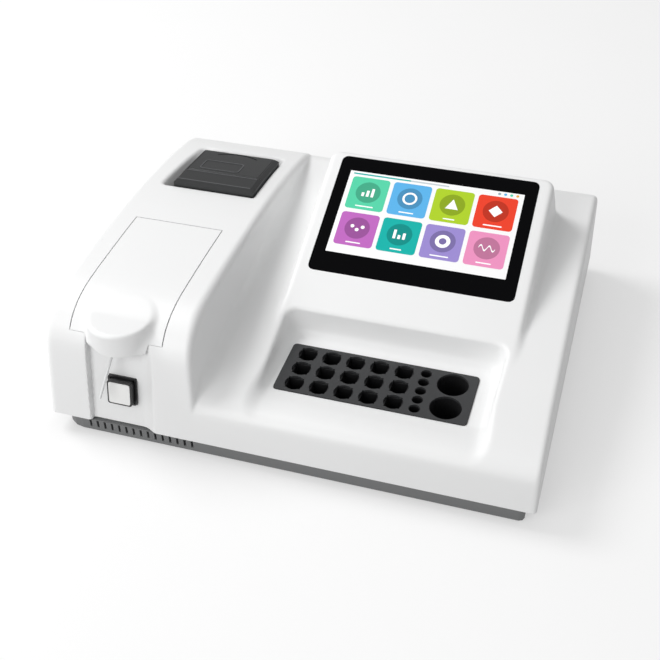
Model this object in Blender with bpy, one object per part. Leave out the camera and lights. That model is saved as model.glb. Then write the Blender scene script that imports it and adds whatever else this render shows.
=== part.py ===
"""Semi-automatic chemistry analyzer: a bench instrument with a tower, a sloping console and a screen.

Metres, +Z up, +X to the operator's right, +Y to the rear. The origin is on the table, under the
middle of the whole instrument. Each piece is one closed solid in the collection chemistry_analyzer.
"""

import bpy
import bmesh
from math import atan2, cos, pi, radians, sin, tan
from mathutils import Matrix, Vector

# Driving sizes: the screen and the printer set the width and the depth of the housing around them

WALL = 0.0025
FOOT_HEIGHT = 0.003
COVER_EDGE_HEIGHT = 0.012
TOWER_RISE = 0.100
DECK_RISE = 0.0785
EDGE_RADIUS = 0.005
NEEDLE_REACH = 0.0078
PRINTER_WIDTH = 0.0756
POCKET_LEFT_ROOM = 0.0125
POCKET_RIGHT_ROOM = 0.0004
POCKET_FROM_LEFT = 0.020
POCKET_FROM_RIGHT = 0.0165
GLASS_WIDTH = 0.1755
GLASS_HEIGHT = 0.1212
BEZEL_SIDE = 0.012
BEZEL_TOP = 0.0065
BEZEL_BOTTOM = 0.0376
SCREEN_TILT = radians(21.6)
SCREEN_GUTTER = 0.03795
SCREEN_MARGIN = 0.03755
SCREEN_START = 0.1202
SCREEN_BEHIND = 0.0625
POCKET_WIDTH = POCKET_LEFT_ROOM + PRINTER_WIDTH + POCKET_RIGHT_ROOM
TOWER_WIDTH = POCKET_FROM_LEFT + POCKET_WIDTH + POCKET_FROM_RIGHT
SCREEN_FACE = BEZEL_BOTTOM + GLASS_HEIGHT + BEZEL_TOP
HOUSING_WIDTH = TOWER_WIDTH + SCREEN_GUTTER + BEZEL_SIDE * 2 + GLASS_WIDTH + SCREEN_MARGIN
HOUSING_DEPTH = SCREEN_START + SCREEN_FACE * cos(SCREEN_TILT) + SCREEN_BEHIND

# Clearances and the one overrun of all cuts

GAP = 0.0003
SEAM = 0.0004
OVERRUN = 0.020

# Places worked out from the driving sizes

FRONT_Y = (NEEDLE_REACH - HOUSING_DEPTH) / 2
REAR_Y = FRONT_Y + HOUSING_DEPTH
LEFT_X = -HOUSING_WIDTH / 2
RIGHT_X = HOUSING_WIDTH / 2
BASE_Z = FOOT_HEIGHT
EDGE_Z = BASE_Z + COVER_EDGE_HEIGHT
TOWER_RIGHT_X = LEFT_X + TOWER_WIDTH
SKY_Z = EDGE_Z + TOWER_RISE + OVERRUN

# Side outlines, from the front lower edge over the top to the rear lower edge.
# Each pair is a share of the housing's depth and a share of the tower's or the deck's rise.

TOWER_SHARES = (
    (0.0, 0.0), (0.0200, 0.370), (0.0363, 0.630), (0.0496, 0.750), (0.0675, 0.835),
    (0.0927, 0.900), (0.1314, 0.953), (0.1879, 0.984), (0.3216, 0.999), (0.4405, 1.0),
    (0.5595, 0.989), (0.6784, 0.962), (0.7973, 0.916), (0.8900, 0.862), (0.9350, 0.820),
    (0.9600, 0.782), (0.9740, 0.730), (0.9816, 0.660), (0.9850, 0.580), (1.0, 0.0),
)
DECK_SHARES = (
    (0.0, 0.0), (0.0128, 0.306), (0.0199, 0.388), (0.0333, 0.452), (0.0541, 0.497),
    (0.0927, 0.535), (0.1433, 0.569), (0.2325, 0.624), (0.3216, 0.688), (0.4405, 0.767),
    (0.5595, 0.828), (0.6784, 0.885), (0.7973, 0.940), (0.9162, 0.989), (0.9400, 0.994),
    (0.9600, 0.975), (0.9740, 0.925), (0.9816, 0.841), (0.9850, 0.739), (1.0, 0.0),
)
ROUND_STEPS = 3
ROUND_SHARE = 0.5

parts = bpy.data.collections.new("chemistry_analyzer")
cutters = bpy.data.collections.new("cutters")


def clear_scene():
    """Empty the scene and give it the two collections."""
    for old in list(bpy.data.objects):
        bpy.data.objects.remove(old, do_unlink=True)
    bpy.context.scene.collection.children.link(parts)
    bpy.context.scene.collection.children.link(cutters)


# Modelling helpers


def add_object(name, mesh, place, group):
    """Put a mesh in the scene at a place, and mark it as a guide if it is a cutter."""
    obj = bpy.data.objects.new(name, mesh)
    obj.matrix_world = place
    group.objects.link(obj)
    if group is cutters:
        obj.hide_render = True
        obj.display_type = "WIRE"
    return obj


def finish_mesh(name, bm):
    """Turn a bmesh into a mesh with its faces pointing out."""
    bmesh.ops.recalc_face_normals(bm, faces=bm.faces)
    mesh = bpy.data.meshes.new(name)
    bm.to_mesh(mesh)
    bm.free()
    return mesh


def block(name, low, high, frame=Matrix(), group=cutters, radius=0.0, along=None, steps=ROUND_STEPS):
    """A box between two corners, with the edges along one axis rounded, or all of them."""
    low, high = Vector(low), Vector(high)
    size = high - low
    bm = bmesh.new()
    bmesh.ops.create_cube(bm, size=1.0, matrix=Matrix.Diagonal((*size, 1.0)))
    if radius > 0.0:
        edges = bm.edges[:]
        if along is not None:
            edges = [e for e in edges if abs((e.verts[0].co - e.verts[1].co)[along]) > size[along] / 2]
        bmesh.ops.bevel(bm, geom=edges, offset=radius, segments=steps, profile=ROUND_SHARE,
                        affect="EDGES")
    return add_object(name, finish_mesh(name, bm), frame @ Matrix.Translation((low + high) / 2), group)


def round_edges(obj, radius, steps, wanted):
    """Round those edges of a mesh whose two ends, in its own frame, are the wanted ones."""
    bm = bmesh.new()
    bm.from_mesh(obj.data)
    edges = [e for e in bm.edges if wanted(e.verts[0].co, e.verts[1].co)]
    bmesh.ops.bevel(bm, geom=edges, offset=radius, segments=steps, profile=ROUND_SHARE, affect="EDGES")
    obj.data = finish_mesh(obj.name, bm)
    return obj


def turn_to(axis):
    """The rotation that lays a cylinder's length along a direction."""
    return Vector((0, 0, 1)).rotation_difference(Vector(axis)).to_matrix().to_4x4()


def rod(name, radius, start, end, frame=Matrix(), group=cutters, sides=24, end_radius=None):
    """A cylinder or a cone between two points."""
    start, end = Vector(start), Vector(end)
    bm = bmesh.new()
    bmesh.ops.create_cone(bm, cap_ends=True, segments=sides, radius1=radius,
                          radius2=radius if end_radius is None else end_radius,
                          depth=(end - start).length)
    place = frame @ Matrix.Translation((start + end) / 2) @ turn_to(end - start)
    return add_object(name, finish_mesh(name, bm), place, group)


def bake(obj):
    """Apply an object's modifiers."""
    depsgraph = bpy.context.evaluated_depsgraph_get()
    mesh = bpy.data.meshes.new_from_object(obj.evaluated_get(depsgraph))
    obj.modifiers.clear()
    obj.data = mesh
    return obj


def combine(target, tool, operation):
    """Apply one Boolean step and use up its tool."""
    step = target.modifiers.new(operation.lower(), "BOOLEAN")
    step.operation = operation
    step.solver = "EXACT"
    step.object = tool
    bake(target)
    bpy.data.objects.remove(tool, do_unlink=True)
    return target


def cut(target, *tools):
    for tool in tools:
        combine(target, tool, "DIFFERENCE")
    return target


def join(target, *tools):
    for tool in tools:
        combine(target, tool, "UNION")
    return target


def keep(target, tool):
    return combine(target, tool, "INTERSECT")


def prism(name, outline, low, high, frame, group=cutters):
    """A flat outline, filled as a 2D curve and extruded along its normal from low to high."""
    curve = bpy.data.curves.new(name, "CURVE")
    curve.dimensions = "2D"
    curve.fill_mode = "BOTH"
    curve.extrude = (high - low) / 2
    spline = curve.splines.new("POLY")
    spline.points.add(len(outline) - 1)
    for point, (across, up) in zip(spline.points, outline):
        point.co = (across, up, 0.0, 1.0)
    spline.use_cyclic_u = True
    flat = add_object(name, curve, Matrix(), cutters)
    depsgraph = bpy.context.evaluated_depsgraph_get()
    mesh = bpy.data.meshes.new_from_object(flat.evaluated_get(depsgraph))
    bpy.data.objects.remove(flat, do_unlink=True)
    bm = bmesh.new()
    bm.from_mesh(mesh)
    bmesh.ops.remove_doubles(bm, verts=bm.verts, dist=WALL / 1000)
    bmesh.ops.dissolve_limit(bm, angle_limit=radians(1), verts=bm.verts, edges=bm.edges)
    place = frame @ Matrix.Translation((0.0, 0.0, (low + high) / 2))
    return add_object(name, finish_mesh(name, bm), place, group)


SIDE_VIEW = Matrix(((0, 0, 1, 0), (1, 0, 0, 0), (0, 1, 0, 0), (0, 0, 0, 1)))


def loft(name, rings, group=cutters):
    """A solid through unlike closed sections, each a list of as many points."""
    bm = bmesh.new()
    rows = [[bm.verts.new(point) for point in ring] for ring in rings]
    for near, far in zip(rows, rows[1:]):
        for i, corner in enumerate(near):
            j = (i + 1) % len(near)
            bm.faces.new((corner, near[j], far[j], far[i]))
    bm.faces.new(rows[0])
    bm.faces.new(rows[-1])
    return add_object(name, finish_mesh(name, bm), Matrix(), group)


def tube(name, route, radius, group):
    """A hose along a smooth curve through a few points, with rounded section."""
    curve = bpy.data.curves.new(name, "CURVE")
    curve.dimensions = "3D"
    curve.bevel_depth = radius
    curve.bevel_resolution = 1
    curve.use_fill_caps = True
    points = smooth(route)
    spline = curve.splines.new("POLY")
    spline.points.add(len(points) - 1)
    for point, place in zip(spline.points, points):
        point.co = (*place, 1.0)
    line = add_object(name, curve, Matrix(), cutters)
    depsgraph = bpy.context.evaluated_depsgraph_get()
    mesh = bpy.data.meshes.new_from_object(line.evaluated_get(depsgraph))
    bpy.data.objects.remove(line, do_unlink=True)
    bm = bmesh.new()
    bm.from_mesh(mesh)
    bmesh.ops.remove_doubles(bm, verts=bm.verts, dist=WALL / 1000)
    return add_object(name, finish_mesh(name, bm), Matrix(), group)


def smooth(route, steps=5):
    """Points on a Catmull-Rom curve through the route's points."""
    route = [Vector(point) for point in route]
    ends = [route[0] * 2 - route[1]] + route + [route[-1] * 2 - route[-2]]
    points = []
    for a, b, c, d in zip(ends, ends[1:], ends[2:], ends[3:]):
        for i in range(steps):
            t = i / steps
            points.append(((b * 2) + (c - a) * t + (a * 2 - b * 5 + c * 4 - d) * t ** 2
                           + (b * 3 - a - c * 3 + d) * t ** 3) / 2)
    return points + [route[-1]]


def move_origin(obj, point):
    """Put a moving piece's origin on its joint's axis."""
    point = Vector(point)
    shift = obj.matrix_world.inverted() @ Matrix.Translation(point)
    obj.data.transform(shift.inverted())
    obj.matrix_world = obj.matrix_world @ shift
    return obj


def dress(obj, name, colour, roughness, metallic=0.0):
    """Name a finished piece and give it its own material."""
    obj.name = name
    obj.data.name = name
    material = bpy.data.materials.new(name)
    material.use_nodes = True
    shader = material.node_tree.nodes["Principled BSDF"]
    shader.inputs["Base Color"].default_value = (*colour, 1.0)
    shader.inputs["Roughness"].default_value = roughness
    shader.inputs["Metallic"].default_value = metallic
    obj.data.materials.clear()
    obj.data.materials.append(material)
    obj.data.shade_smooth()
    obj.data.set_sharp_from_angle(angle=radians(35))
    return obj


WHITE = (0.86, 0.87, 0.87)
GREY = (0.17, 0.18, 0.18)
CHARCOAL = (0.035, 0.036, 0.038)
BLACK = (0.008, 0.008, 0.009)
STEEL = (0.62, 0.63, 0.64)
ALUMINIUM = (0.72, 0.73, 0.74)
GREEN = (0.02, 0.16, 0.07)
CLEAR = (0.80, 0.86, 0.88)
AMBER = (0.55, 0.22, 0.04)
PAPER = (0.88, 0.87, 0.83)
BRASS = (0.60, 0.42, 0.18)


# Shape of the housing, outside and inside


def section(shares, rise, inset, low_z):
    """A side outline moved inwards by inset, with its two ends at low_z."""
    points = [Vector((FRONT_Y + a * HOUSING_DEPTH, EDGE_Z + b * rise)) for a, b in shares]
    moved = []
    for i, point in enumerate(points):
        along = (points[min(i + 1, len(points) - 1)] - points[max(i - 1, 0)]).normalized()
        moved.append(point + Vector((along.y, -along.x)) * inset)
    moved[0].y = low_z
    moved[-1].y = low_z
    return moved


def side_loft(name, shares, rise, low_x, high_x, inset, low_z):
    """A body with one side outline, whose two ends are rounded by shrinking it."""
    radius = EDGE_RADIUS - inset
    rings = []
    for end, way in ((low_x + inset, 1), (high_x - inset, -1)):
        arc = []
        for i in range(ROUND_STEPS + 1):
            angle = pi / 2 * i / ROUND_STEPS
            x = end + way * radius * (1 - cos(angle))
            shrink = inset + radius * (1 - sin(angle))
            arc.append([(x, y, z) for y, z in section(shares, rise, shrink, low_z)])
        rings += arc[::way]
    return loft(name, rings)


# Screen housing: a wedge on the deck, whose face is square to the screen

SCREEN_HEIGHT = 0.1057
GLASS_THICKNESS = 0.0025
GLASS_RADIUS = 0.005
BEZEL_DEPTH = 0.058
BEZEL_RADIUS = 0.004
BEZEL_CORNER = 0.010
SCREEN_FROM_FRONT = SCREEN_START + (BEZEL_BOTTOM + GLASS_HEIGHT / 2) * cos(SCREEN_TILT)
SCREEN_FROM_LEFT = TOWER_WIDTH + SCREEN_GUTTER + BEZEL_SIDE + GLASS_WIDTH / 2
SCREEN_FRAME = (Matrix.Translation((LEFT_X + SCREEN_FROM_LEFT, FRONT_Y + SCREEN_FROM_FRONT,
                                    BASE_Z + SCREEN_HEIGHT)) @ Matrix.Rotation(SCREEN_TILT, 4, "X"))


def screen_wedge(inset):
    low = (-GLASS_WIDTH / 2 - BEZEL_SIDE + inset, -GLASS_HEIGHT / 2 - BEZEL_BOTTOM + inset,
           -BEZEL_DEPTH - inset)
    high = (GLASS_WIDTH / 2 + BEZEL_SIDE - inset, GLASS_HEIGHT / 2 + BEZEL_TOP - inset, -inset * 2)
    wedge = block("wedge", low, high, SCREEN_FRAME, cutters, BEZEL_CORNER - inset, 2)
    top = max(v.co.z for v in wedge.data.vertices) - WALL / 10
    return round_edges(wedge, BEZEL_RADIUS - inset, 2, lambda a, b: a.z > top and b.z > top)


# Incubator shelf: a recess in the deck that runs out towards the front

PLATE_WIDTH = 0.1561
SHELF_GUTTER = 0.045
SHELF_LEFT_ROOM = 0.01035
SHELF_RIGHT_ROOM = 0.01755
SHELF_BACK = 0.1185
SHELF_FLOOR = 0.045
SHELF_RAMP_START = 0.045
SHELF_RAMP_END = 0.014
SHELF_RAMP_RISE = 0.0062
SHELF_CORNER = 0.009
SHELF_LEFT_X = TOWER_RIGHT_X + SHELF_GUTTER
PLATE_X = SHELF_LEFT_X + SHELF_LEFT_ROOM + PLATE_WIDTH / 2
SHELF_RIGHT_X = PLATE_X + PLATE_WIDTH / 2 + SHELF_RIGHT_ROOM
SHELF_BACK_Y = FRONT_Y + SHELF_BACK
SHELF_FLOOR_Z = BASE_Z + SHELF_FLOOR


def shelf_recess(inset):
    floor = SHELF_FLOOR_Z - inset
    outline = (
        (SHELF_BACK_Y + inset, SKY_Z),
        (FRONT_Y - OVERRUN, SKY_Z),
        (FRONT_Y - OVERRUN, floor + SHELF_RAMP_RISE),
        (FRONT_Y + SHELF_RAMP_END, floor + SHELF_RAMP_RISE),
        (FRONT_Y + SHELF_RAMP_START, floor),
        (SHELF_BACK_Y + inset, floor),
    )
    recess = prism("recess", outline, SHELF_LEFT_X - inset, SHELF_RIGHT_X + inset, SIDE_VIEW)
    back = max(v.co.x for v in recess.data.vertices) - WALL / 10
    return round_edges(recess, SHELF_CORNER + inset, 4,
                       lambda a, b: a.x > back and b.x > back and abs(a.y - b.y) > SHELF_CORNER)


# Sample channel: a shallow upright groove in the tower's front, under the lid's boss

CHANNEL_FROM_LEFT = 0.064
CHANNEL_WIDTH = 0.052
CHANNEL_DEPTH = 0.0048
CHANNEL_TOP = 0.097
CHANNEL_LEAN = radians(12)
CHANNEL_X = LEFT_X + CHANNEL_FROM_LEFT
CHANNEL_TOP_Z = BASE_Z + CHANNEL_TOP
CHANNEL_FRAME = (Matrix.Translation((CHANNEL_X, FRONT_Y + CHANNEL_DEPTH, EDGE_Z))
                 @ Matrix.Rotation(pi / 2 - CHANNEL_LEAN, 4, "X"))


def channel_groove(inset):
    """The groove in the frame of its back face: X across, Y up the face, Z out of it."""
    length = (CHANNEL_TOP_Z - EDGE_Z) / cos(CHANNEL_LEAN)
    low = (-CHANNEL_WIDTH / 2 - inset, -OVERRUN, -inset)
    high = (CHANNEL_WIDTH / 2 + inset, length, OVERRUN)
    return block("groove", low, high, CHANNEL_FRAME, cutters, WALL, 1, 2)


# Printer pocket: a sunk well in the rear of the tower's top

POCKET_FROM_FRONT = 0.2078
POCKET_LENGTH = 0.0907
POCKET_FLOOR = 0.092
POCKET_CORNER = 0.005
POCKET_LEFT_X = LEFT_X + POCKET_FROM_LEFT
POCKET_RIGHT_X = POCKET_LEFT_X + POCKET_WIDTH
POCKET_FRONT_Y = FRONT_Y + POCKET_FROM_FRONT
POCKET_BACK_Y = POCKET_FRONT_Y + POCKET_LENGTH
POCKET_FLOOR_Z = BASE_Z + POCKET_FLOOR


def printer_pocket(inset):
    """The well; its front right corner is left square, because the printer's corner stands in it."""
    low = (POCKET_LEFT_X - inset, POCKET_FRONT_Y - inset, POCKET_FLOOR_Z - inset)
    high = (POCKET_RIGHT_X + inset, POCKET_BACK_Y + inset, SKY_Z)
    return round_edges(block("pocket", low, high), POCKET_CORNER + inset, 3,
                       lambda a, b: a.z * b.z < 0 and not (a.x > 0 and a.y < 0))


def housing_solid(inset, low_z):
    """The whole housing as one solid, moved inwards by inset."""
    body = side_loft("housing", TOWER_SHARES, TOWER_RISE, LEFT_X, TOWER_RIGHT_X, inset, low_z)
    deck = side_loft("deck", DECK_SHARES, DECK_RISE, LEFT_X + TOWER_WIDTH / 2, RIGHT_X, inset, low_z)
    join(body, deck, screen_wedge(inset))
    cut(body, shelf_recess(inset), channel_groove(inset), printer_pocket(inset))
    return body


def outline_top(shares, rise, y):
    """Height of the tower's or the deck's outside at a place along its depth."""
    outline = section(shares, rise, 0.0, EDGE_Z)
    for near, far in zip(outline, outline[1:]):
        if near.x <= y <= far.x:
            return near.y + (far.y - near.y) * (y - near.x) / (far.x - near.x)
    return EDGE_Z


# Flow cell lid, with its round boss, and its hinge pin

LID_FROM_LEFT = 0.0233
LID_FROM_RIGHT = 0.0227
LID_BACK = 0.1502
LID_FRONT_HEIGHT = 0.091
BOSS_RADIUS = 0.0265
BOSS_FROM_FRONT = 0.0302
BOSS_TOP = 0.1055
BOSS_BOTTOM = 0.0845
BOSS_WALL = 0.002
KNUCKLE_RADIUS = 0.0025
PIN_RADIUS = 0.001
PIN_SEAT = 0.008
LID_LEFT_X = LEFT_X + LID_FROM_LEFT
LID_RIGHT_X = TOWER_RIGHT_X - LID_FROM_RIGHT
LID_BACK_Y = FRONT_Y + LID_BACK
LID_FRONT_Z = BASE_Z + LID_FRONT_HEIGHT
BOSS_X = CHANNEL_X
BOSS_Y = FRONT_Y + BOSS_FROM_FRONT
LID_AXIS_Y = LID_BACK_Y - SEAM - KNUCKLE_RADIUS
LID_AXIS_Z = outline_top(TOWER_SHARES, TOWER_RISE, LID_AXIS_Y) - KNUCKLE_RADIUS
LID_PIN_LEFT_X = LID_LEFT_X - PIN_SEAT
LID_PIN_RIGHT_X = LID_RIGHT_X + PIN_SEAT


def lid_opening(shrink):
    low = (LID_LEFT_X + shrink, FRONT_Y - OVERRUN, LID_FRONT_Z + shrink)
    high = (LID_RIGHT_X - shrink, LID_BACK_Y - shrink, SKY_Z)
    return block("lid_opening", low, high)


def make_lid(shell):
    lid = keep(shell, lid_opening(SEAM))
    top, bottom = BASE_Z + BOSS_TOP, BASE_Z + BOSS_BOTTOM
    cut(lid, block("behind_axis", (LEFT_X, LID_AXIS_Y, EDGE_Z), (TOWER_RIGHT_X, REAR_Y, SKY_Z)))
    cup = rod("cup", BOSS_RADIUS, (BOSS_X, BOSS_Y, bottom), (BOSS_X, BOSS_Y, top), sides=40)
    below = housing_solid(-SEAM, EDGE_Z - OVERRUN)
    keep(below, block("slab", (LEFT_X, FRONT_Y - OVERRUN, EDGE_Z),
                      (TOWER_RIGHT_X, LID_BACK_Y, LID_FRONT_Z + SEAM)))
    inside = side_loft("inside", TOWER_SHARES, TOWER_RISE, LEFT_X, TOWER_RIGHT_X, WALL / 2, EDGE_Z - OVERRUN)
    cut(cup, below, inside)
    join(lid, cup)
    cut(lid, rod("hollow", BOSS_RADIUS - BOSS_WALL, (BOSS_X, BOSS_Y, bottom - OVERRUN),
                 (BOSS_X, BOSS_Y, top - BOSS_WALL), sides=40))
    join(lid, rod("knuckle", KNUCKLE_RADIUS, (LID_LEFT_X + SEAM, LID_AXIS_Y, LID_AXIS_Z),
                  (LID_RIGHT_X - SEAM, LID_AXIS_Y, LID_AXIS_Z), sides=20))
    cut(lid, rod("pin_hole", PIN_RADIUS + GAP, (LID_LEFT_X - OVERRUN, LID_AXIS_Y, LID_AXIS_Z),
                 (LID_RIGHT_X + OVERRUN, LID_AXIS_Y, LID_AXIS_Z), sides=16))
    dress(publish(lid), "flow_cell_lid", WHITE, 0.42)
    move_origin(lid, (BOSS_X, LID_AXIS_Y, LID_AXIS_Z))
    pin = rod("pin", PIN_RADIUS, (LID_PIN_LEFT_X, LID_AXIS_Y, LID_AXIS_Z),
              (LID_PIN_RIGHT_X, LID_AXIS_Y, LID_AXIS_Z), group=parts, sides=16)
    dress(pin, "lid_hinge_pin", STEEL, 0.3, 1.0)


def publish(obj):
    """Move a finished piece from the cutters to the parts."""
    cutters.objects.unlink(obj)
    parts.objects.link(obj)
    obj.hide_render = False
    obj.display_type = "TEXTURED"
    return obj


# Base tray, its feet, and the posts and screws that hold the cover

TRAY_INSET = 0.0085
TRAY_FRONT_INSET = 0.0027
TRAY_CORNER = 0.019
TRAY_RIGHT_CORNER = 0.004
TRAY_SHARP_CORNER = 0.001
TRAY_FLOOR = 0.0025
TRAY_LIP_INSET = 0.0075
TRAY_LIP_RISE = 0.008
TRAY_LIP_WALL = 0.0025
SLOT_COUNT = 15
SLOT_PITCH = 0.0064
SLOT_WIDTH = 0.002
SLOT_LOW = 0.0035
SLOT_HEIGHT = 0.0075
SLOT_FROM_LEFT = 0.035
POST_RADIUS = 0.005
POST_IN_X = 0.026
POST_IN_FRONT = 0.019
POST_IN_REAR = 0.019
SCREW_RADIUS = 0.0015
SCREW_HEAD_RADIUS = 0.0035
SCREW_HEAD = 0.0018
SCREW_LENGTH = 0.017
SCREW_SPARE = 0.002
FOOT_RADIUS = 0.009
FOOT_IN = 0.036
PEG_RADIUS = 0.002
FLOOR_Z = BASE_Z + TRAY_FLOOR
TRAY_FRONT_Y = FRONT_Y + TRAY_FRONT_INSET
TRAY_REAR_Y = REAR_Y - TRAY_FRONT_INSET
LIP_FRONT_Y = TRAY_FRONT_Y + TRAY_LIP_INSET
LIP_REAR_Y = TRAY_REAR_Y - TRAY_LIP_INSET
RIM_Z = EDGE_Z - GAP
POST_PLACES = (
    (LEFT_X + POST_IN_X, FRONT_Y + POST_IN_FRONT, TOWER_SHARES, TOWER_RISE),
    (RIGHT_X - POST_IN_X, FRONT_Y + POST_IN_FRONT, DECK_SHARES, DECK_RISE),
    (LEFT_X + POST_IN_X, REAR_Y - POST_IN_REAR, TOWER_SHARES, TOWER_RISE),
    (RIGHT_X - POST_IN_X, REAR_Y - POST_IN_REAR, DECK_SHARES, DECK_RISE),
)
FOOT_PLACES = [(LEFT_X + FOOT_IN if i % 2 == 0 else RIGHT_X - FOOT_IN,
                FRONT_Y + FOOT_IN if i < 2 else REAR_Y - FOOT_IN) for i in range(4)]


def tray_ring(inset, low_z, high_z):
    """The tray's plan, moved inwards: well-rounded corners on the left, small ones on the right."""
    low = (LEFT_X + TRAY_INSET + inset, TRAY_FRONT_Y + inset, low_z)
    high = (RIGHT_X - TRAY_INSET - inset, TRAY_REAR_Y - inset, high_z)
    ring = block("tray", low, high)
    round_edges(ring, TRAY_CORNER - inset, 4, lambda a, b: max(a.x, b.x) < 0 and a.z * b.z < 0)
    round_edges(ring, max(TRAY_RIGHT_CORNER - inset, TRAY_SHARP_CORNER), 2,
                lambda a, b: min(a.x, b.x) > 0 and a.z * b.z < 0)
    return ring


def make_tray():
    tray = tray_ring(0.0, BASE_Z, RIM_Z)
    join(tray, tray_ring(TRAY_LIP_INSET, BASE_Z, EDGE_Z + TRAY_LIP_RISE))
    cut(tray, tray_ring(TRAY_LIP_INSET + TRAY_LIP_WALL, FLOOR_Z, SKY_Z))
    for i in range(SLOT_COUNT):
        x = LEFT_X + SLOT_FROM_LEFT + i * SLOT_PITCH
        low = (x - SLOT_WIDTH / 2, FRONT_Y - OVERRUN, BASE_Z + SLOT_LOW)
        high = (x + SLOT_WIDTH / 2, FRONT_Y + OVERRUN, BASE_Z + SLOT_LOW + SLOT_HEIGHT)
        cut(tray, block("slot", low, high))
    holes = [(x, y, SCREW_RADIUS) for x, y, shares, rise in POST_PLACES]
    for x, y, radius in holes + [(x, y, PEG_RADIUS) for x, y in FOOT_PLACES]:
        cut(tray, rod("hole", radius + GAP, (x, y, BASE_Z - OVERRUN), (x, y, BASE_Z + OVERRUN), sides=12))
    stands = (
        (BLOCK_LEFT_X, BLOCK_RIGHT_X, BLOCK_FRONT_Y, BLOCK_BACK_Y, PAD_Z - GAP),
        (BOARD_LEFT_X, BOARD_RIGHT_X, BOARD_FRONT_Y, BOARD_BACK_Y, BOARD_Z - GAP),
    )
    for left, right, front, back, high in stands:
        for x in (left + STAND_IN, right - STAND_IN):
            for y in (front + STAND_IN, back - STAND_IN):
                join(tray, rod("stand", STAND_RADIUS, (x, y, FLOOR_Z - TRAY_FLOOR / 2), (x, y, high), sides=16))
    return dress(publish(tray), "base_tray", GREY, 0.6)


def make_feet_and_screws():
    for i, (x, y) in enumerate(FOOT_PLACES):
        foot = rod("foot", FOOT_RADIUS, (x, y, 0.0), (x, y, BASE_Z - GAP), group=parts, sides=28,
                   end_radius=FOOT_RADIUS - WALL / 2)
        join(foot, rod("peg", PEG_RADIUS, (x, y, BASE_Z / 2), (x, y, FLOOR_Z), sides=12))
        dress(foot, "foot_%d" % (i + 1), CHARCOAL, 0.8)
    for i, (x, y, shares, rise) in enumerate(POST_PLACES):
        under = BASE_Z - GAP
        screw = rod("screw", SCREW_HEAD_RADIUS, (x, y, under - SCREW_HEAD), (x, y, under), group=parts,
                    sides=16)
        join(screw, rod("shank", SCREW_RADIUS, (x, y, under - SCREW_HEAD / 2),
                        (x, y, under + SCREW_LENGTH), sides=12))
        dress(screw, "cover_screw_%d" % (i + 1), STEEL, 0.35, 1.0)


# Incubator: the plate on the shelf, the block below it and its heater pad

PLATE_FROM_FRONT = 0.0726
PLATE_LENGTH = 0.0559
PLATE_THICKNESS = 0.002
PLATE_SINK = 0.0012
PLATE_RADIUS = 0.003
CUVETTE_COLUMNS = 5
CUVETTE_ROWS = 3
CUVETTE_X = -0.0628
CUVETTE_Y = 0.0175
CUVETTE_PITCH_X = 0.02028
CUVETTE_PITCH_Y = 0.01779
CUVETTE_ROUND = 0.016
CUVETTE_SQUARE = 0.0128
TUBE_WELLS = 5
TUBE_X = 0.0359
TUBE_Y = 0.0205
TUBE_PITCH = 0.01036
TUBE_ROUND = 0.0092
BOTTLE_WELLS = 2
BOTTLE_X = 0.0590
BOTTLE_Y = 0.01335
BOTTLE_PITCH = 0.0269
BOTTLE_ROUND = 0.0255
WELL_DEPTH = 0.024
BLOCK_HEIGHT = 0.028
BLOCK_IN = 0.0012
PAD_THICKNESS = 0.0015
STAND_IN = 0.008
STAND_RADIUS = 0.003
PLATE_Y = FRONT_Y + PLATE_FROM_FRONT
PLATE_Z = SHELF_FLOOR_Z - PLATE_SINK + GAP
BLOCK_TOP_Z = PLATE_Z - GAP
BLOCK_LEFT_X = PLATE_X - PLATE_WIDTH / 2 + BLOCK_IN
BLOCK_RIGHT_X = PLATE_X + PLATE_WIDTH / 2 - BLOCK_IN
BLOCK_FRONT_Y = PLATE_Y - PLATE_LENGTH / 2 + BLOCK_IN
BLOCK_BACK_Y = PLATE_Y + PLATE_LENGTH / 2 - BLOCK_IN
BLOCK_Z = BLOCK_TOP_Z - BLOCK_HEIGHT
PAD_Z = BLOCK_Z - GAP - PAD_THICKNESS
CUVETTE_PLACES = [(PLATE_X + CUVETTE_X + i * CUVETTE_PITCH_X, PLATE_Y + CUVETTE_Y - j * CUVETTE_PITCH_Y)
                  for j in range(CUVETTE_ROWS) for i in range(CUVETTE_COLUMNS)]
TUBE_PLACES = [(PLATE_X + TUBE_X, PLATE_Y + TUBE_Y - i * TUBE_PITCH) for i in range(TUBE_WELLS)]
BOTTLE_PLACES = [(PLATE_X + BOTTLE_X, PLATE_Y + BOTTLE_Y - i * BOTTLE_PITCH) for i in range(BOTTLE_WELLS)]


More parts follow.
